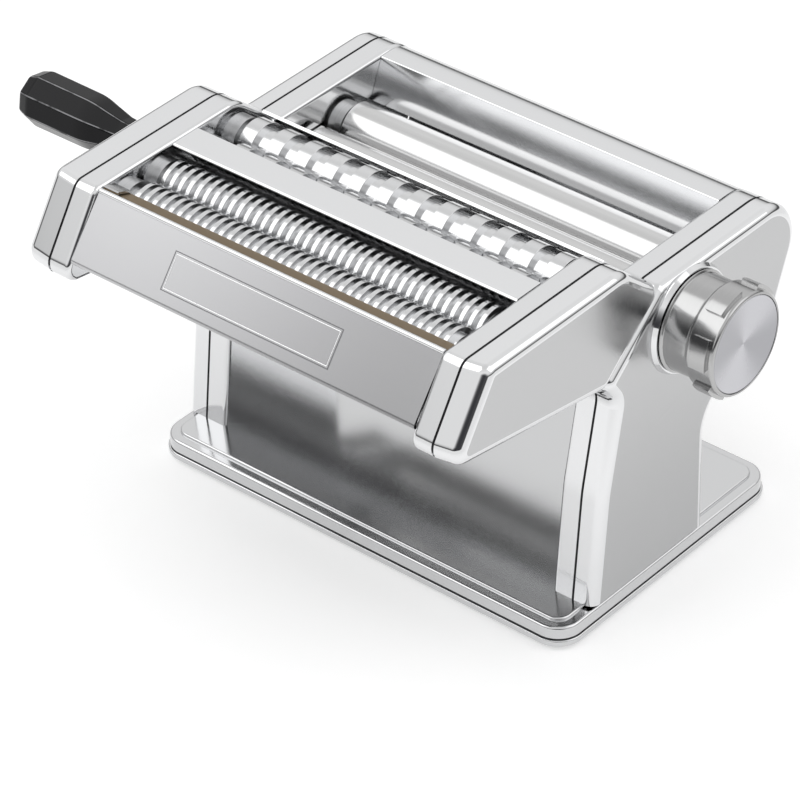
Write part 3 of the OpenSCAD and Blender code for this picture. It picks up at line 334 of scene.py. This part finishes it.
NODE_FINISH = {
    CHROME: ["cutter_rails", "gauge_bracket", "index_plate", "crank_rod", "cutter_bridge",
             "knob_shell", "cutter_hooks"],
    TRAY: ["left_side_wall", "right_side_wall", "left_cutter_wall", "right_cutter_wall",
           "rear_cover", "front_cover", "cutter_rear_panel", "front_scraper", "rear_scraper"],
    COVER_FACE: ["left_body_cover", "right_body_cover", "left_cutter_cover", "right_cutter_cover"],
    BASE_METAL: ["base_plate", "base_pan"],
    BARREL: ["front_roller", "rear_roller"],
    TOOTH: ["noodle_roller_front", "noodle_roller_rear", "ribbon_roller_front",
            "ribbon_roller_rear"],
    SHAFT: ["front_roller_shaft", "rear_roller_shaft", "gauge_spindle", "body_tie_rods",
            "cutter_tie_rods", "bearing_blocks", "gauge_cam", "front_roller_gear",
            "rear_roller_gear", "noodle_gear_front", "noodle_gear_rear", "ribbon_gear_front",
            "ribbon_gear_rear"],
    SCREW: ["base_screws", "body_tie_nuts", "cutter_tie_nuts", "grip_washer", "index_pin",
            "knob_spring", "crank_collar"],
    BUSH: ["rear_roller_bushes", "cutter_bushes"],
    GUIDE: ["guide_strip"],
    COMB: ["noodle_combs", "ribbon_combs"],
    SEAL: ["body_seals", "cutter_seals", "base_seal"],
    FOOT: ["rubber_feet"],
    GRIP: ["crank_grip"],
    KNOB_FACE: ["knob_face"],
    PANEL: ["front_panel"],
}


def dress(obj, material):
    """Gives an object one material."""
    obj.data.materials.clear()
    obj.data.materials.append(material)


for finish, dressed in NODE_FINISH.items():
    for node_name in dressed:
        dress(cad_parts[node_name], finish)


# ---- modelling ----
def bevel(bm, edges, offset, segments):
    """Rounds edges off."""
    bmesh.ops.bevel(bm, geom=list(edges), offset=offset, offset_type="OFFSET",
                    segments=segments, profile=0.5, affect="EDGES", material=-1,
                    clamp_overlap=False, loop_slide=True)


def across(x):
    """Plane of a section across the rollers: (y, z) at x."""
    return lambda y, z: Vector((x, y, z))


def lengthwise(x, radius):
    """Plane of a turned profile: (x, radius)."""
    return Vector((x, radius, 0))


def level(z):
    """Plane of the base: (x, y) at z."""
    return lambda x, y: Vector((x, y, z))


def wire(bm, corners, plane, closed=True, fineness=3.0):
    """Wire through [u, v, radius] corners, each radius spun as a true arc."""
    ends = []
    count = len(corners)
    spun_about = (plane(1, 0) - plane(0, 0)).cross(plane(0, 1) - plane(0, 0))
    for i, (u, v, *radius) in enumerate(corners):
        radius = radius[0] if radius else 0
        corner = Vector((u, v))
        if radius and (closed or 0 < i < count - 1):
            before = (corner - Vector(corners[i - 1][:2])).normalized()
            after = (Vector(corners[(i + 1) % count][:2]) - corner).normalized()
            turn = math.atan2(before.cross(after), before.dot(after))
            start = corner - radius * math.tan(abs(turn) / 2) * before
            centre = start + math.copysign(radius, turn) * Vector((-before.y, before.x))
            first = bm.verts.new(plane(*start))
            steps = max(2, round(math.sqrt(radius) * abs(turn) * fineness))
            spun = bmesh.ops.spin(bm, geom=[first], cent=plane(*centre), axis=spun_about,
                                  angle=turn, steps=steps, use_merge=False)
            last = next(v for v in spun["geom_last"] if isinstance(v, bmesh.types.BMVert))
        else:
            first = last = bm.verts.new(plane(*corner))
        ends.append((first, last))
    pairs = list(zip(ends, ends[1:] + ends[:1]))
    for (_, last), (first, _) in pairs if closed else pairs[:-1]:
        bm.edges.new((last, first))


def outline_loop(bm, corners, plane):
    """Closed wire on a plane; returns its edges."""
    old = set(bm.edges)
    wire(bm, corners, plane)
    return [e for e in bm.edges if e not in old]


def prism(corners, x0, x1, lean=None):
    """Solid across the rollers; lean moves the far corners along Y."""
    lean = lean or {}
    far = [(y + lean.get(i, 0), z, radius) for i, (y, z, radius) in enumerate(corners)]
    return slab(corners, across(x0), far, across(x1))


def slab(near, near_plane, far, far_plane):
    """Solid between two flat outlines of rounded corners."""
    bm = bmesh.new()
    near_edges = outline_loop(bm, near, near_plane)
    far_edges = outline_loop(bm, far, far_plane)
    bmesh.ops.bridge_loops(bm, edges=near_edges + far_edges)
    for edges in (near_edges, far_edges):
        bmesh.ops.contextual_create(bm, geom=edges)
    bmesh.ops.recalc_face_normals(bm, faces=bm.faces)
    return bm


def end_face(bm, place, axis=0):
    """Largest flat face at a place along an axis."""
    return max((f for f in bm.faces if all(abs(v.co[axis] - place) < 1e-3 for v in f.verts)),
               key=lambda f: f.calc_area())


def turned(profile, y, z, steps=96, closed=False, fineness=3.0, start=0.0):
    """Turned form from an [x, radius, corner radius] profile round an axis along X."""
    bm = bmesh.new()
    wire(bm, profile, lengthwise, closed, fineness)
    bmesh.ops.rotate(bm, verts=bm.verts, cent=(0, 0, 0), matrix=Matrix.Rotation(start, 3, "X"))
    bmesh.ops.spin(bm, geom=bm.verts[:] + bm.edges[:], cent=(0, 0, 0), axis=X,
                   angle=2 * math.pi, steps=steps, use_merge=True)
    bmesh.ops.remove_doubles(bm, verts=bm.verts, dist=1e-4)
    bmesh.ops.recalc_face_normals(bm, faces=bm.faces)
    bmesh.ops.translate(bm, verts=bm.verts, vec=(0, y, z))
    return bm


def sheet_part(path, x0, x1, thickness):
    """Bent sheet along X; it lies on the right of its [y, z, radius] path."""
    bm = bmesh.new()
    wire(bm, path, across(x0), closed=False, fineness=5.0)
    grown = bmesh.ops.extrude_edge_only(bm, edges=bm.edges[:])
    moved = [v for v in grown["geom"] if isinstance(v, bmesh.types.BMVert)]
    bmesh.ops.translate(bm, verts=moved, vec=(x1 - x0, 0, 0))
    bm.normal_update()
    first, second = (Vector(p[:2]) for p in path[:2])
    run = (second - first).normalized()
    face = min(bm.faces, key=lambda f: (f.calc_center_median().yz - (first + second) / 2).length)
    if face.normal.yz.dot(Vector((-run.y, run.x))) < 0:
        bmesh.ops.reverse_faces(bm, faces=bm.faces[:])
    bmesh.ops.solidify(bm, geom=bm.faces[:], thickness=thickness)
    return bm


def mark_edges(bm, angle):
    """Smooth faces with sharp edges above an angle."""
    for f in bm.faces:
        f.smooth = True
    for e in bm.edges:
        e.smooth = len(e.link_faces) == 2 and e.calc_face_angle() < math.radians(angle)


def piece(name, bm, body, materials, nodes=(), angle=35, rounding=0.0):
    """Makes a bmesh in mm into a finished piece that rides on a body."""
    bmesh.ops.scale(bm, verts=bm.verts, vec=(MM, MM, MM))
    mark_edges(bm, angle)
    mesh = bpy.data.meshes.new(name)
    for material in materials:
        mesh.materials.append(material)
    bm.to_mesh(mesh)
    bm.free()
    obj = bpy.data.objects.new(name, mesh)
    bpy.context.scene.collection.objects.link(obj)
    if rounding:
        soft = obj.modifiers.new("rounded_edges", "BEVEL")
        soft.width, soft.segments, soft.limit_method = rounding * MM, 3, "ANGLE"
        soft.angle_limit = math.radians(angle)
        soft.harden_normals = True
    even = obj.modifiers.new("even_normals", "WEIGHTED_NORMAL")
    even.keep_sharp = True
    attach(obj, body)
    if nodes:
        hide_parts(*nodes)


def cut_out(bm, *tools):
    """Takes closed tool forms away from a closed form."""
    meshes = []
    for made in (bm, *tools):
        mesh = bpy.data.meshes.new("blank")
        made.to_mesh(mesh)
        made.free()
        obj = bpy.data.objects.new("blank", mesh)
        bpy.context.scene.collection.objects.link(obj)
        meshes.append(obj)
    blank, *drills = meshes
    for drill in drills:
        cut = blank.modifiers.new("cut", "BOOLEAN")
        cut.operation, cut.solver, cut.object = "DIFFERENCE", "EXACT", drill
    result = bmesh.new()
    result.from_object(blank, bpy.context.evaluated_depsgraph_get())
    for obj in meshes:
        bpy.data.objects.remove(obj)
    return result


def drills(sign, reach, spots):
    """Round tools at [y, z, radius] spots; reach is their run along X on the side of sign."""
    near, far = reach
    bm = bmesh.new()
    for y, z, radius in spots:
        turn = (Matrix.Translation((sign * (near + far) / 2, y, z))
                @ Matrix.Rotation(math.pi / 2, 4, "Y"))
        bmesh.ops.create_cone(bm, cap_ends=True, segments=64, radius1=radius, radius2=radius,
                              depth=far - near, matrix=turn)
    return bm


def posts(z0, z1, spots):
    """Round tools from z0 to z1 at [x, y, radius] spots."""
    bm = bmesh.new()
    for x, y, radius in spots:
        bmesh.ops.create_cone(bm, cap_ends=True, segments=48, radius1=radius, radius2=radius,
                              depth=z1 - z0, matrix=Matrix.Translation((x, y, (z0 + z1) / 2)))
    return bm


def block(low, high):
    """Box-shaped tool between two corners."""
    bm = bmesh.new()
    bmesh.ops.create_cube(bm, size=1.0)
    bmesh.ops.scale(bm, verts=bm.verts, vec=Vector(high) - Vector(low))
    bmesh.ops.translate(bm, verts=bm.verts, vec=(Vector(high) + Vector(low)) / 2)
    return bm


def pressed_shell(corners, x_open, x_flat, edge, lean=None, foot=None, flat_material=0,
                  steps=8):
    """Deep-drawn tray: flat face at x_flat, rounded edge, open at x_open, cut off at foot."""
    bm = prism(corners, x_open, x_flat, lean)
    bevel(bm, end_face(bm, x_flat).edges, edge, steps)
    bmesh.ops.delete(bm, geom=[end_face(bm, x_open)], context="FACES")
    if foot is not None:
        bmesh.ops.bisect_plane(bm, geom=bm.verts[:] + bm.edges[:] + bm.faces[:],
                               plane_co=(0, 0, foot), plane_no=(0, 0, -1), clear_outer=True)
    end_face(bm, x_flat).material_index = flat_material
    bmesh.ops.solidify(bm, geom=bm.faces[:], thickness=SHEET)
    for v in bm.verts:
        if foot is not None and v.co.z < foot + 0.5:
            v.co.z = foot
    return bm


def side_shells():
    """The pressed covers of the body and of the cutter."""
    collar_hole, shaft_hole, bush_hole = 8.0, 7.0, 6.8
    body_hole = {1: (FRONT_AXIS_Y, AXIS_Z, collar_hole), -1: (REAR_AXIS_Y, AXIS_Z, shaft_hole)}
    drive_holes = [(*drive, bush_hole) for drive in (NOODLE_DRIVE, RIBBON_DRIVE)]
    for side, sign in (("right", 1), ("left", -1)):
        cover = pressed_shell(BODY, sign * COVER_X, sign * BODY_FACE, COVER_EDGE,
                              foot=BASE_TOP, flat_material=1)
        cover = cut_out(cover, drills(sign, BODY_DRILL, [body_hole[sign]]))
        piece(f"{side}_cover_shell", cover, "machine", [CHROME, COVER_FACE],
              [f"{side}_body_cover"])
        face = KNOB_SIDE_FACE if sign > 0 else GEAR_SIDE_FACE
        cutter = pressed_shell(CUTTER, sign * COVER_X, sign * face, COVER_EDGE, LEANING,
                               flat_material=1)
        if sign < 0:
            cutter = cut_out(cutter, drills(sign, CUTTER_DRILL, drive_holes))
        piece(f"{side}_cutter_shell", cutter, "cutter", [CHROME, COVER_FACE],
              [f"{side}_cutter_cover"])


def rounded_slab(inset, z0, z1):
    """Slab of the base's outline, set in from its edge."""
    w, d, r = BASE_W / 2 - inset, BASE_D / 2 - inset, BASE_CORNER - inset
    corners = [(-w, -d, r), (w, -d, r), (w, d, r), (-w, d, r)]
    return slab(corners, level(z0), corners, level(z1))


def base():
    """Pressed base plate with its ledge and raised field, over the bottom pan."""
    slot_low, slot_high = CLAMP_SLOT
    feet = [(sx * (BASE_W / 2 - FOOT_INSET), sy * (BASE_D / 2 - FOOT_INSET), FOOT_HOLE_R)
            for sx in (-1, 1) for sy in (-1, 1)]
    plate = rounded_slab(PLATE_INSET, PLATE_FOOT, PLATE_TOP)
    bevel(plate, end_face(plate, PLATE_TOP, 2).edges, BASE_EDGE, 6)
    top = end_face(plate, PLATE_TOP, 2)
    bmesh.ops.inset_region(plate, faces=[top], thickness=LEDGE, use_even_offset=True)
    top = bmesh.ops.extrude_discrete_faces(plate, faces=[top])["faces"][0]
    bmesh.ops.translate(plate, verts=top.verts[:], vec=(0, 0, BASE_TOP - PLATE_TOP))
    bevel(plate, top.edges, 0.9, 5)
    bmesh.ops.delete(plate, geom=[end_face(plate, PLATE_FOOT, 2)], context="FACES")
    bmesh.ops.solidify(plate, geom=plate.faces[:], thickness=SHEET)
    plate = cut_out(plate, block((*slot_low, 2), (*slot_high, BASE_TOP + 2)))
    piece("base_plate_shell", plate, "machine", [BASE_METAL], ["base_plate"])

    pan = rounded_slab(0, 0, PAN_TOP)
    bevel(pan, end_face(pan, 0, 2).edges, BASE_EDGE, 5)
    bevel(pan, end_face(pan, PAN_TOP, 2).edges, 0.6, 3)
    top = end_face(pan, PAN_TOP, 2)
    bmesh.ops.inset_region(pan, faces=[top], thickness=2.6, use_even_offset=True)
    bmesh.ops.inset_region(pan, faces=[top], thickness=0.4, depth=SHEET - PAN_TOP,
                           use_even_offset=True)
    pan = cut_out(pan, posts(-2, 5, feet), block((*slot_low, -1), (*slot_high, 5)))
    piece("base_pan_shell", pan, "machine", [BASE_METAL], ["base_pan"])


def finger_recess(turn):
    """Tool for one finger recess of the knob's band, as a swept rectangle."""
    x0, x1, floor, past = 116.6, 123.6, 19.6, 22.0
    tool = bmesh.new()
    wire(tool, [(x0, floor), (x1, floor), (x1, past), (x0, past)],
         lambda x, r: Vector((x, 0, -r)))
    bmesh.ops.contextual_create(tool, geom=tool.edges[:])
    bmesh.ops.rotate(tool, verts=tool.verts, cent=(0, 0, 0),
                     matrix=Matrix.Rotation(math.radians(turn), 3, "X"))
    bmesh.ops.spin(tool, geom=tool.verts[:] + tool.edges[:] + tool.faces[:], cent=(0, 0, 0),
                   axis=X, angle=math.radians(RECESS_SPAN), steps=10, use_merge=False)
    bmesh.ops.recalc_face_normals(tool, faces=tool.faces)
    return tool


def knob():
    """Gauge knob: grooved foot, barrel, and a stepped band with finger recesses."""
    shell = turned([(104, 17.9), (102.0, 17.9), (102.0, 19.8, 0.25), (102.55, 20.0, 0.25),
                    (103.1, 19.0, 0.3), (113.3, 18.9, 1.2), (114.7, 20.5, 0.8),
                    (126.0, 20.5, 1.3), (126.0, 19.05, 0.25), (124.0, 19.05), (124.0, 17.9)],
                   0, 0, steps=128, closed=True, fineness=4.0)
    shell = cut_out(shell, *(finger_recess(360 / RECESSES * i) for i in range(RECESSES)))
    bmesh.ops.translate(shell, verts=shell.verts, vec=(0, FRONT_AXIS_Y, AXIS_Z))
    piece("knob_body", shell, "knob", [KNOB_METAL], ["knob_shell"], rounding=0.22,
          angle=40)
    face = turned([(124.0, 0), (124.0, 19.0), (125.9, 19.0, 0.5), (125.75, 17.6, 0.6),
                   (124.75, 3, 60), (124.72, 0)], FRONT_AXIS_Y, AXIS_Z, steps=128, fineness=5.0)
    piece("knob_end_face", face, "knob", [KNOB_FACE], ["knob_face"])


def grip():
    """Eight-sided grip of the crank, narrow towards the machine."""
    # distance from the inner end, radius, and corner radius
    outline = [(0, 4.1), (0, 6.2, 0.5), (1, 7.0, 1), (10, 7.6, 6), (17, 9.2, 8),
               (24, 11.0, 30), (52, 11.2, 6), (57, 9.6, 3), (59, 6.0, 3), (59, 0)]
    body = turned([(GRIP_X0 - along, *rest) for along, *rest in outline], 0, 0, steps=8,
                  fineness=4.0, start=math.radians(GRIP_TURN))
    bmesh.ops.translate(body, verts=body.verts, vec=(0, *GRIP_AXIS))
    piece("grip_moulding", body, "grip", [GRIP], ["crank_grip"], angle=25,
          rounding=0.7)


def ring_centres(width, at_middle):
    """Middles of the rings along the roller, one of them at x 0 or two beside it."""
    pitch = 2 * width
    if at_middle:
        count = int((CUT_END - width / 2) // pitch)
        return [i * pitch for i in range(-count, count + 1)]
    count = int((CUT_END - width / 2) / pitch + 0.5)
    return [(i + 0.5) * pitch for i in range(-count, count)]


def ringed_roller(pair, end, axis, width, driven):
    """Cutting roller with softly edged rings and dark grooves between them."""
    journal_r, stub_r, right, half = 5.0, 6.0, 83.7, width / 2 - RING_SLIP
    left = 1.4 - GEAR_SIDE_FACE if driven else -88.7
    profile = [(left, 0)]
    if driven:
        profile = [(left + SOCKET_DEPTH, 0), (left + SOCKET_DEPTH, SOCKET_R), (left, SOCKET_R)]
    profile += [(left, stub_r, 0.4), (-CUT_END, stub_r), (-CUT_END, CORE_R)]
    for c in ring_centres(width, not driven):
        profile += [(c - half, CORE_R), (c - half, RING_R, 0.18), (c + half, RING_R, 0.18),
                    (c + half, CORE_R)]
    profile += [(CUT_END, CORE_R), (CUT_END, journal_r), (right, journal_r, 0.4), (right, 0)]
    form = turned(profile, *axis, steps=72, fineness=4.0)
    piece(f"{pair}_rings_{end}", form, f"{pair}_{end}", [TOOTH], [f"{pair}_roller_{end}"],
          angle=50)


def cutting_rollers():
    """Noodle pair and ribbon pair; the crank drives the rear roller of each."""
    for pair, (y, z), width in (("noodle", NOODLE_DRIVE, NOODLE_W),
                                ("ribbon", RIBBON_DRIVE, RIBBON_W)):
        ringed_roller(pair, "front", (y - PAIR_GAP, z), width, False)
        ringed_roller(pair, "rear", (y, z), width, True)


def smooth_rollers():
    """Ground barrels of the sheeting pair, hollow for their stepped shafts."""
    core, edge = 6.5, 0.7
    for end, y in (("front", FRONT_AXIS_Y), ("rear", REAR_AXIS_Y)):
        barrel = turned([(-ROLLER_END, core), (-ROLLER_END, ROLLER_R, edge),
                         (ROLLER_END, ROLLER_R, edge), (ROLLER_END, core)],
                        y, AXIS_Z, steps=128, closed=True, fineness=5.0)
        piece(f"{end}_roller_barrel", barrel, f"{end}_roll", [BARREL], [f"{end}_roller"])


def cutter_panels():
    """Front panel with its rolled lip and bottom flange, and the panels between the walls."""
    panel = sheet_part([(-117.9, 124.5), (-122.9, 125.9, 1.6), (-105.3, 148.4)],
                       -SPAN_X, SPAN_X, SHEET)
    piece("front_panel_sheet", panel, "cutter", [PANEL], ["front_panel"])
    lip = turned([(-SPAN_X, 0), (-SPAN_X, LIP_R, 0.3), (SPAN_X, LIP_R, 0.3), (SPAN_X, 0)],
                 *LIP_SPOT, steps=32)
    piece("front_panel_lip", lip, "cutter", [CHROME], ())
    guide = sheet_part([(-103.2, 148.7), (-96.4, 146.2, 0.8), (-95.7, 144.9)],
                       -SPAN_X, SPAN_X, GUIDE_SHEET)
    piece("guide_strip_sheet", guide, "cutter", [GUIDE], ["guide_strip"])
    bracket = sheet_part([(-103.0, 149.6), (-102.2, 149.75, 0.4), (-96.3, 147.4, 0.6),
                          (-95.8, 146.2)], -SPAN_X, BRACKET_END, GUIDE_SHEET)
    piece("guide_strip_bracket", bracket, "cutter", [SHAFT], ())

    # the rear panel stands off the face where cutter and body meet, its tongue runs down it
    stand_off = 0.9 * MATE_OUT
    fold = HEEL + 13 * MATE + stand_off
    knee = NOSE + ((BROW - NOSE).length - 2) * MATE + stand_off
    rear = sheet_part([(-17.7, 138.8), (*knee, 3), tuple(fold)], -SPAN_X, SPAN_X, -SHEET)
    piece("cutter_rear_sheet", rear, "cutter", [TRAY], ["cutter_rear_panel"])
    tongue_top = NOSE + 13.6 * MATE + stand_off
    tongue_tip = NOSE + 0.5 * MATE + stand_off
    tongue = sheet_part([tuple(tongue_top), tuple(tongue_tip)], -TONGUE_END, TONGUE_END, -SHEET)
    piece("cutter_rear_tongue", tongue, "cutter", [TRAY], ())

    middle = (NOODLE_DRIVE[0] + RIBBON_DRIVE[0] - PAIR_GAP) / 2
    half = [(1.2, 139, 0.3), (7.2, 148.5, 0.4), (6.5, 149.3, 0.6)]
    rear_half = [(middle + y, z, radius) for y, z, radius in half]
    front_half = [(middle - y, z, radius) for y, z, radius in half]
    bridge = prism([front_half[0], *rear_half, *front_half[:0:-1]], -SPAN_X, SPAN_X)
    piece("cutter_bridge_bar", bridge, "cutter", [CHROME], ["cutter_bridge"])


def trays():
    """Pressed side walls of the body and cutter, with their bearing windows and bores."""
    in_front, behind, above = WINDOW
    for side, sign in (("right", 1), ("left", -1)):
        bush_bore, cutter_bore = (7.5, 6.6) if sign > 0 else (7.6, 7.65)
        wall = pressed_shell(BODY, sign * SEAM_X, sign * WALL_X, TRAY_EDGE, foot=BASE_TOP,
                             steps=5)
        window = block((-100, FRONT_AXIS_Y - in_front, AXIS_Z - above),
                       (100, FRONT_AXIS_Y + behind, AXIS_Z + above))
        bush = drills(sign, WALL_DRILL, [(REAR_AXIS_Y, AXIS_Z, bush_bore)])
        wall = cut_out(wall, bush, window)
        piece(f"{side}_wall_tray", wall, "machine", [TRAY], [f"{side}_side_wall"])
        tray = pressed_shell(CUTTER, sign * SEAM_X, sign * WALL_X, TRAY_EDGE, steps=5)
        axes = [(y - back, z, cutter_bore) for y, z in (NOODLE_DRIVE, RIBBON_DRIVE)
                for back in (0, PAIR_GAP)]
        tray = cut_out(tray, drills(sign, WALL_DRILL, axes))
        piece(f"{side}_cutter_tray", tray, "cutter", [TRAY], [f"{side}_cutter_wall"])


def rear_cover():
    """Rounded rear cover with its folded inlet lip."""
    rear = sheet_part([(44, 114), (50.8, 130.25, 0.8), (81.9, 130.25, 17.2), (61.0, 79.6)],
                      -SPAN_X, SPAN_X, SHEET)
    piece("rear_cover_sheet", rear, "machine", [TRAY], ["rear_cover"])


side_shells()
base()
knob()
grip()
cutting_rollers()
cutter_panels()
trays()
rear_cover()
smooth_rollers()


# ---- floor, light and camera ----
def studio_floor():
    """Matt white floor just under the feet; far from the machine it shows as plain white."""
    plain_from, plain_to, half_size = 0.2, 0.6, 6.0
    bm = bmesh.new()
    bmesh.ops.create_grid(bm, x_segments=1, y_segments=1, size=half_size)
    bmesh.ops.translate(bm, verts=bm.verts, vec=(0, 0, FLOOR_Z * MM))
    mesh = bpy.data.meshes.new("studio_floor")
    bm.to_mesh(mesh)
    bm.free()
    floor = bpy.data.objects.new("studio_floor", mesh)
    bpy.context.scene.collection.objects.link(floor)
    white = Finish("floor_white", (0.88, 0.88, 0.88), 0.9, Specular_IOR_Level=0.0)
    far = white.node("ShaderNodeVectorMath", {"operation": "LENGTH"}, out="Value",
                     i0=white.place())
    # seen or mirrored, the floor goes over into the plain white surround; it still takes light
    shown = white.shown()
    glow = white.node("ShaderNodeEmission", Color=(1, 1, 1, 1), Strength=1.0)
    lift = white.node("ShaderNodeEmission", Color=(1, 1, 1, 1), Strength=shown * 0.34)
    lit = white.node("ShaderNodeAddShader", i0=white.principled, i1=lift)
    white.surface(white.node("ShaderNodeMixShader", i1=lit, i2=glow,
                             Fac=white.band(far, plain_from, plain_to) * shown))
    dress(floor, white.material)


def studio_world():
    """Even light; white to the camera, and a banded studio where metal or glass mirrors it."""
    world = bpy.data.worlds.new("studio")
    bpy.context.scene.world = world
    world.use_nodes = True
    sky = Nodes(world.node_tree, "ShaderNodeOutputWorld")
    direction = sky.node("ShaderNodeTexCoord", out="Generated")
    # greys from straight down to straight up, with a dark band just above the horizon
    height = sky.maths("MULTIPLY_ADD", sky.part("Z", direction), 0.5, 0.5)
    bands = sky.node("ShaderNodeValToRGB", Fac=height, settings={"stops": [
        (0.0, 0.9), (0.49, 0.9), (0.505, 0.08), (0.545, 0.10), (0.605, 0.72), (0.68, 0.93),
        (0.82, 1.0), (1.0, 0.8)]})
    # dark screen that stands off the corner between knob and cutter
    screen = sky.node("ShaderNodeVectorMath", {"operation": "DOT_PRODUCT"}, out="Value",
                      i0=direction, i1=(0.66, -0.75, 0.0))
    mirrored = sky.blend(sky.band(screen, 0.78, 0.96), bands, (0.05, 0.05, 0.055))
    seen = sky.node("ShaderNodeLightPath", out="Is Camera Ray")
    studio = sky.node("ShaderNodeBackground", Color=sky.blend(seen, mirrored, (1, 1, 1)))
    light = sky.node("ShaderNodeBackground", Color=(1, 1, 1, 1), Strength=0.75)
    sky.surface(sky.node("ShaderNodeMixShader", Fac=sky.shown(), i1=light, i2=studio))


def softbox(name, spot, size, watts, target=(0, 0, 0.08)):
    """Square lamp at a spot, turned towards the machine."""
    data = bpy.data.lights.new(name, "AREA")
    data.shape, data.size, data.energy = "SQUARE", size, watts
    lamp = bpy.data.objects.new(name, data)
    bpy.context.scene.collection.objects.link(lamp)
    lamp.location = spot
    lamp.rotation_euler = (Vector(target) - Vector(spot)).to_track_quat("-Z", "Y").to_euler()


def product_camera():
    """Long lens, well above the cutter side, with a slight roll."""
    azimuth, height, roll = (math.radians(a) for a in (40.91, 35.91, -1.35))
    sideways, upwards, distance, aim = -22.26, 27.24, 1722.59, Vector((0, -1.5, 0))
    back = Vector((math.sin(azimuth) * math.cos(height), -math.cos(azimuth) * math.cos(height),
                   math.sin(height)))
    level_right = Vector((math.cos(azimuth), math.sin(azimuth), 0))
    level_up = back.cross(level_right)
    right = math.cos(roll) * level_right + math.sin(roll) * level_up
    up = math.cos(roll) * level_up - math.sin(roll) * level_right
    data = bpy.data.cameras.new("camera")
    data.lens, data.sensor_width = 202.5, 36
    data.shift_x, data.shift_y = -0.00314, 0.00049
    data.clip_end = 50
    camera = bpy.data.objects.new("camera", data)
    bpy.context.scene.collection.objects.link(camera)
    spot = (sideways * right + upwards * up + distance * back + aim) * MM
    turn = Matrix((right, up, back)).transposed().to_4x4()
    camera.matrix_world = Matrix.Translation(spot) @ turn
    bpy.context.scene.camera = camera


studio_floor()
studio_world()
softbox("key_softbox", (-0.9, -0.9, 1.6), size=1.7, watts=9)
softbox("fill_softbox", (1.2, 0.6, 1.4), size=1.5, watts=4.5)
product_camera()
bpy.context.scene.view_settings.view_transform = "Standard"
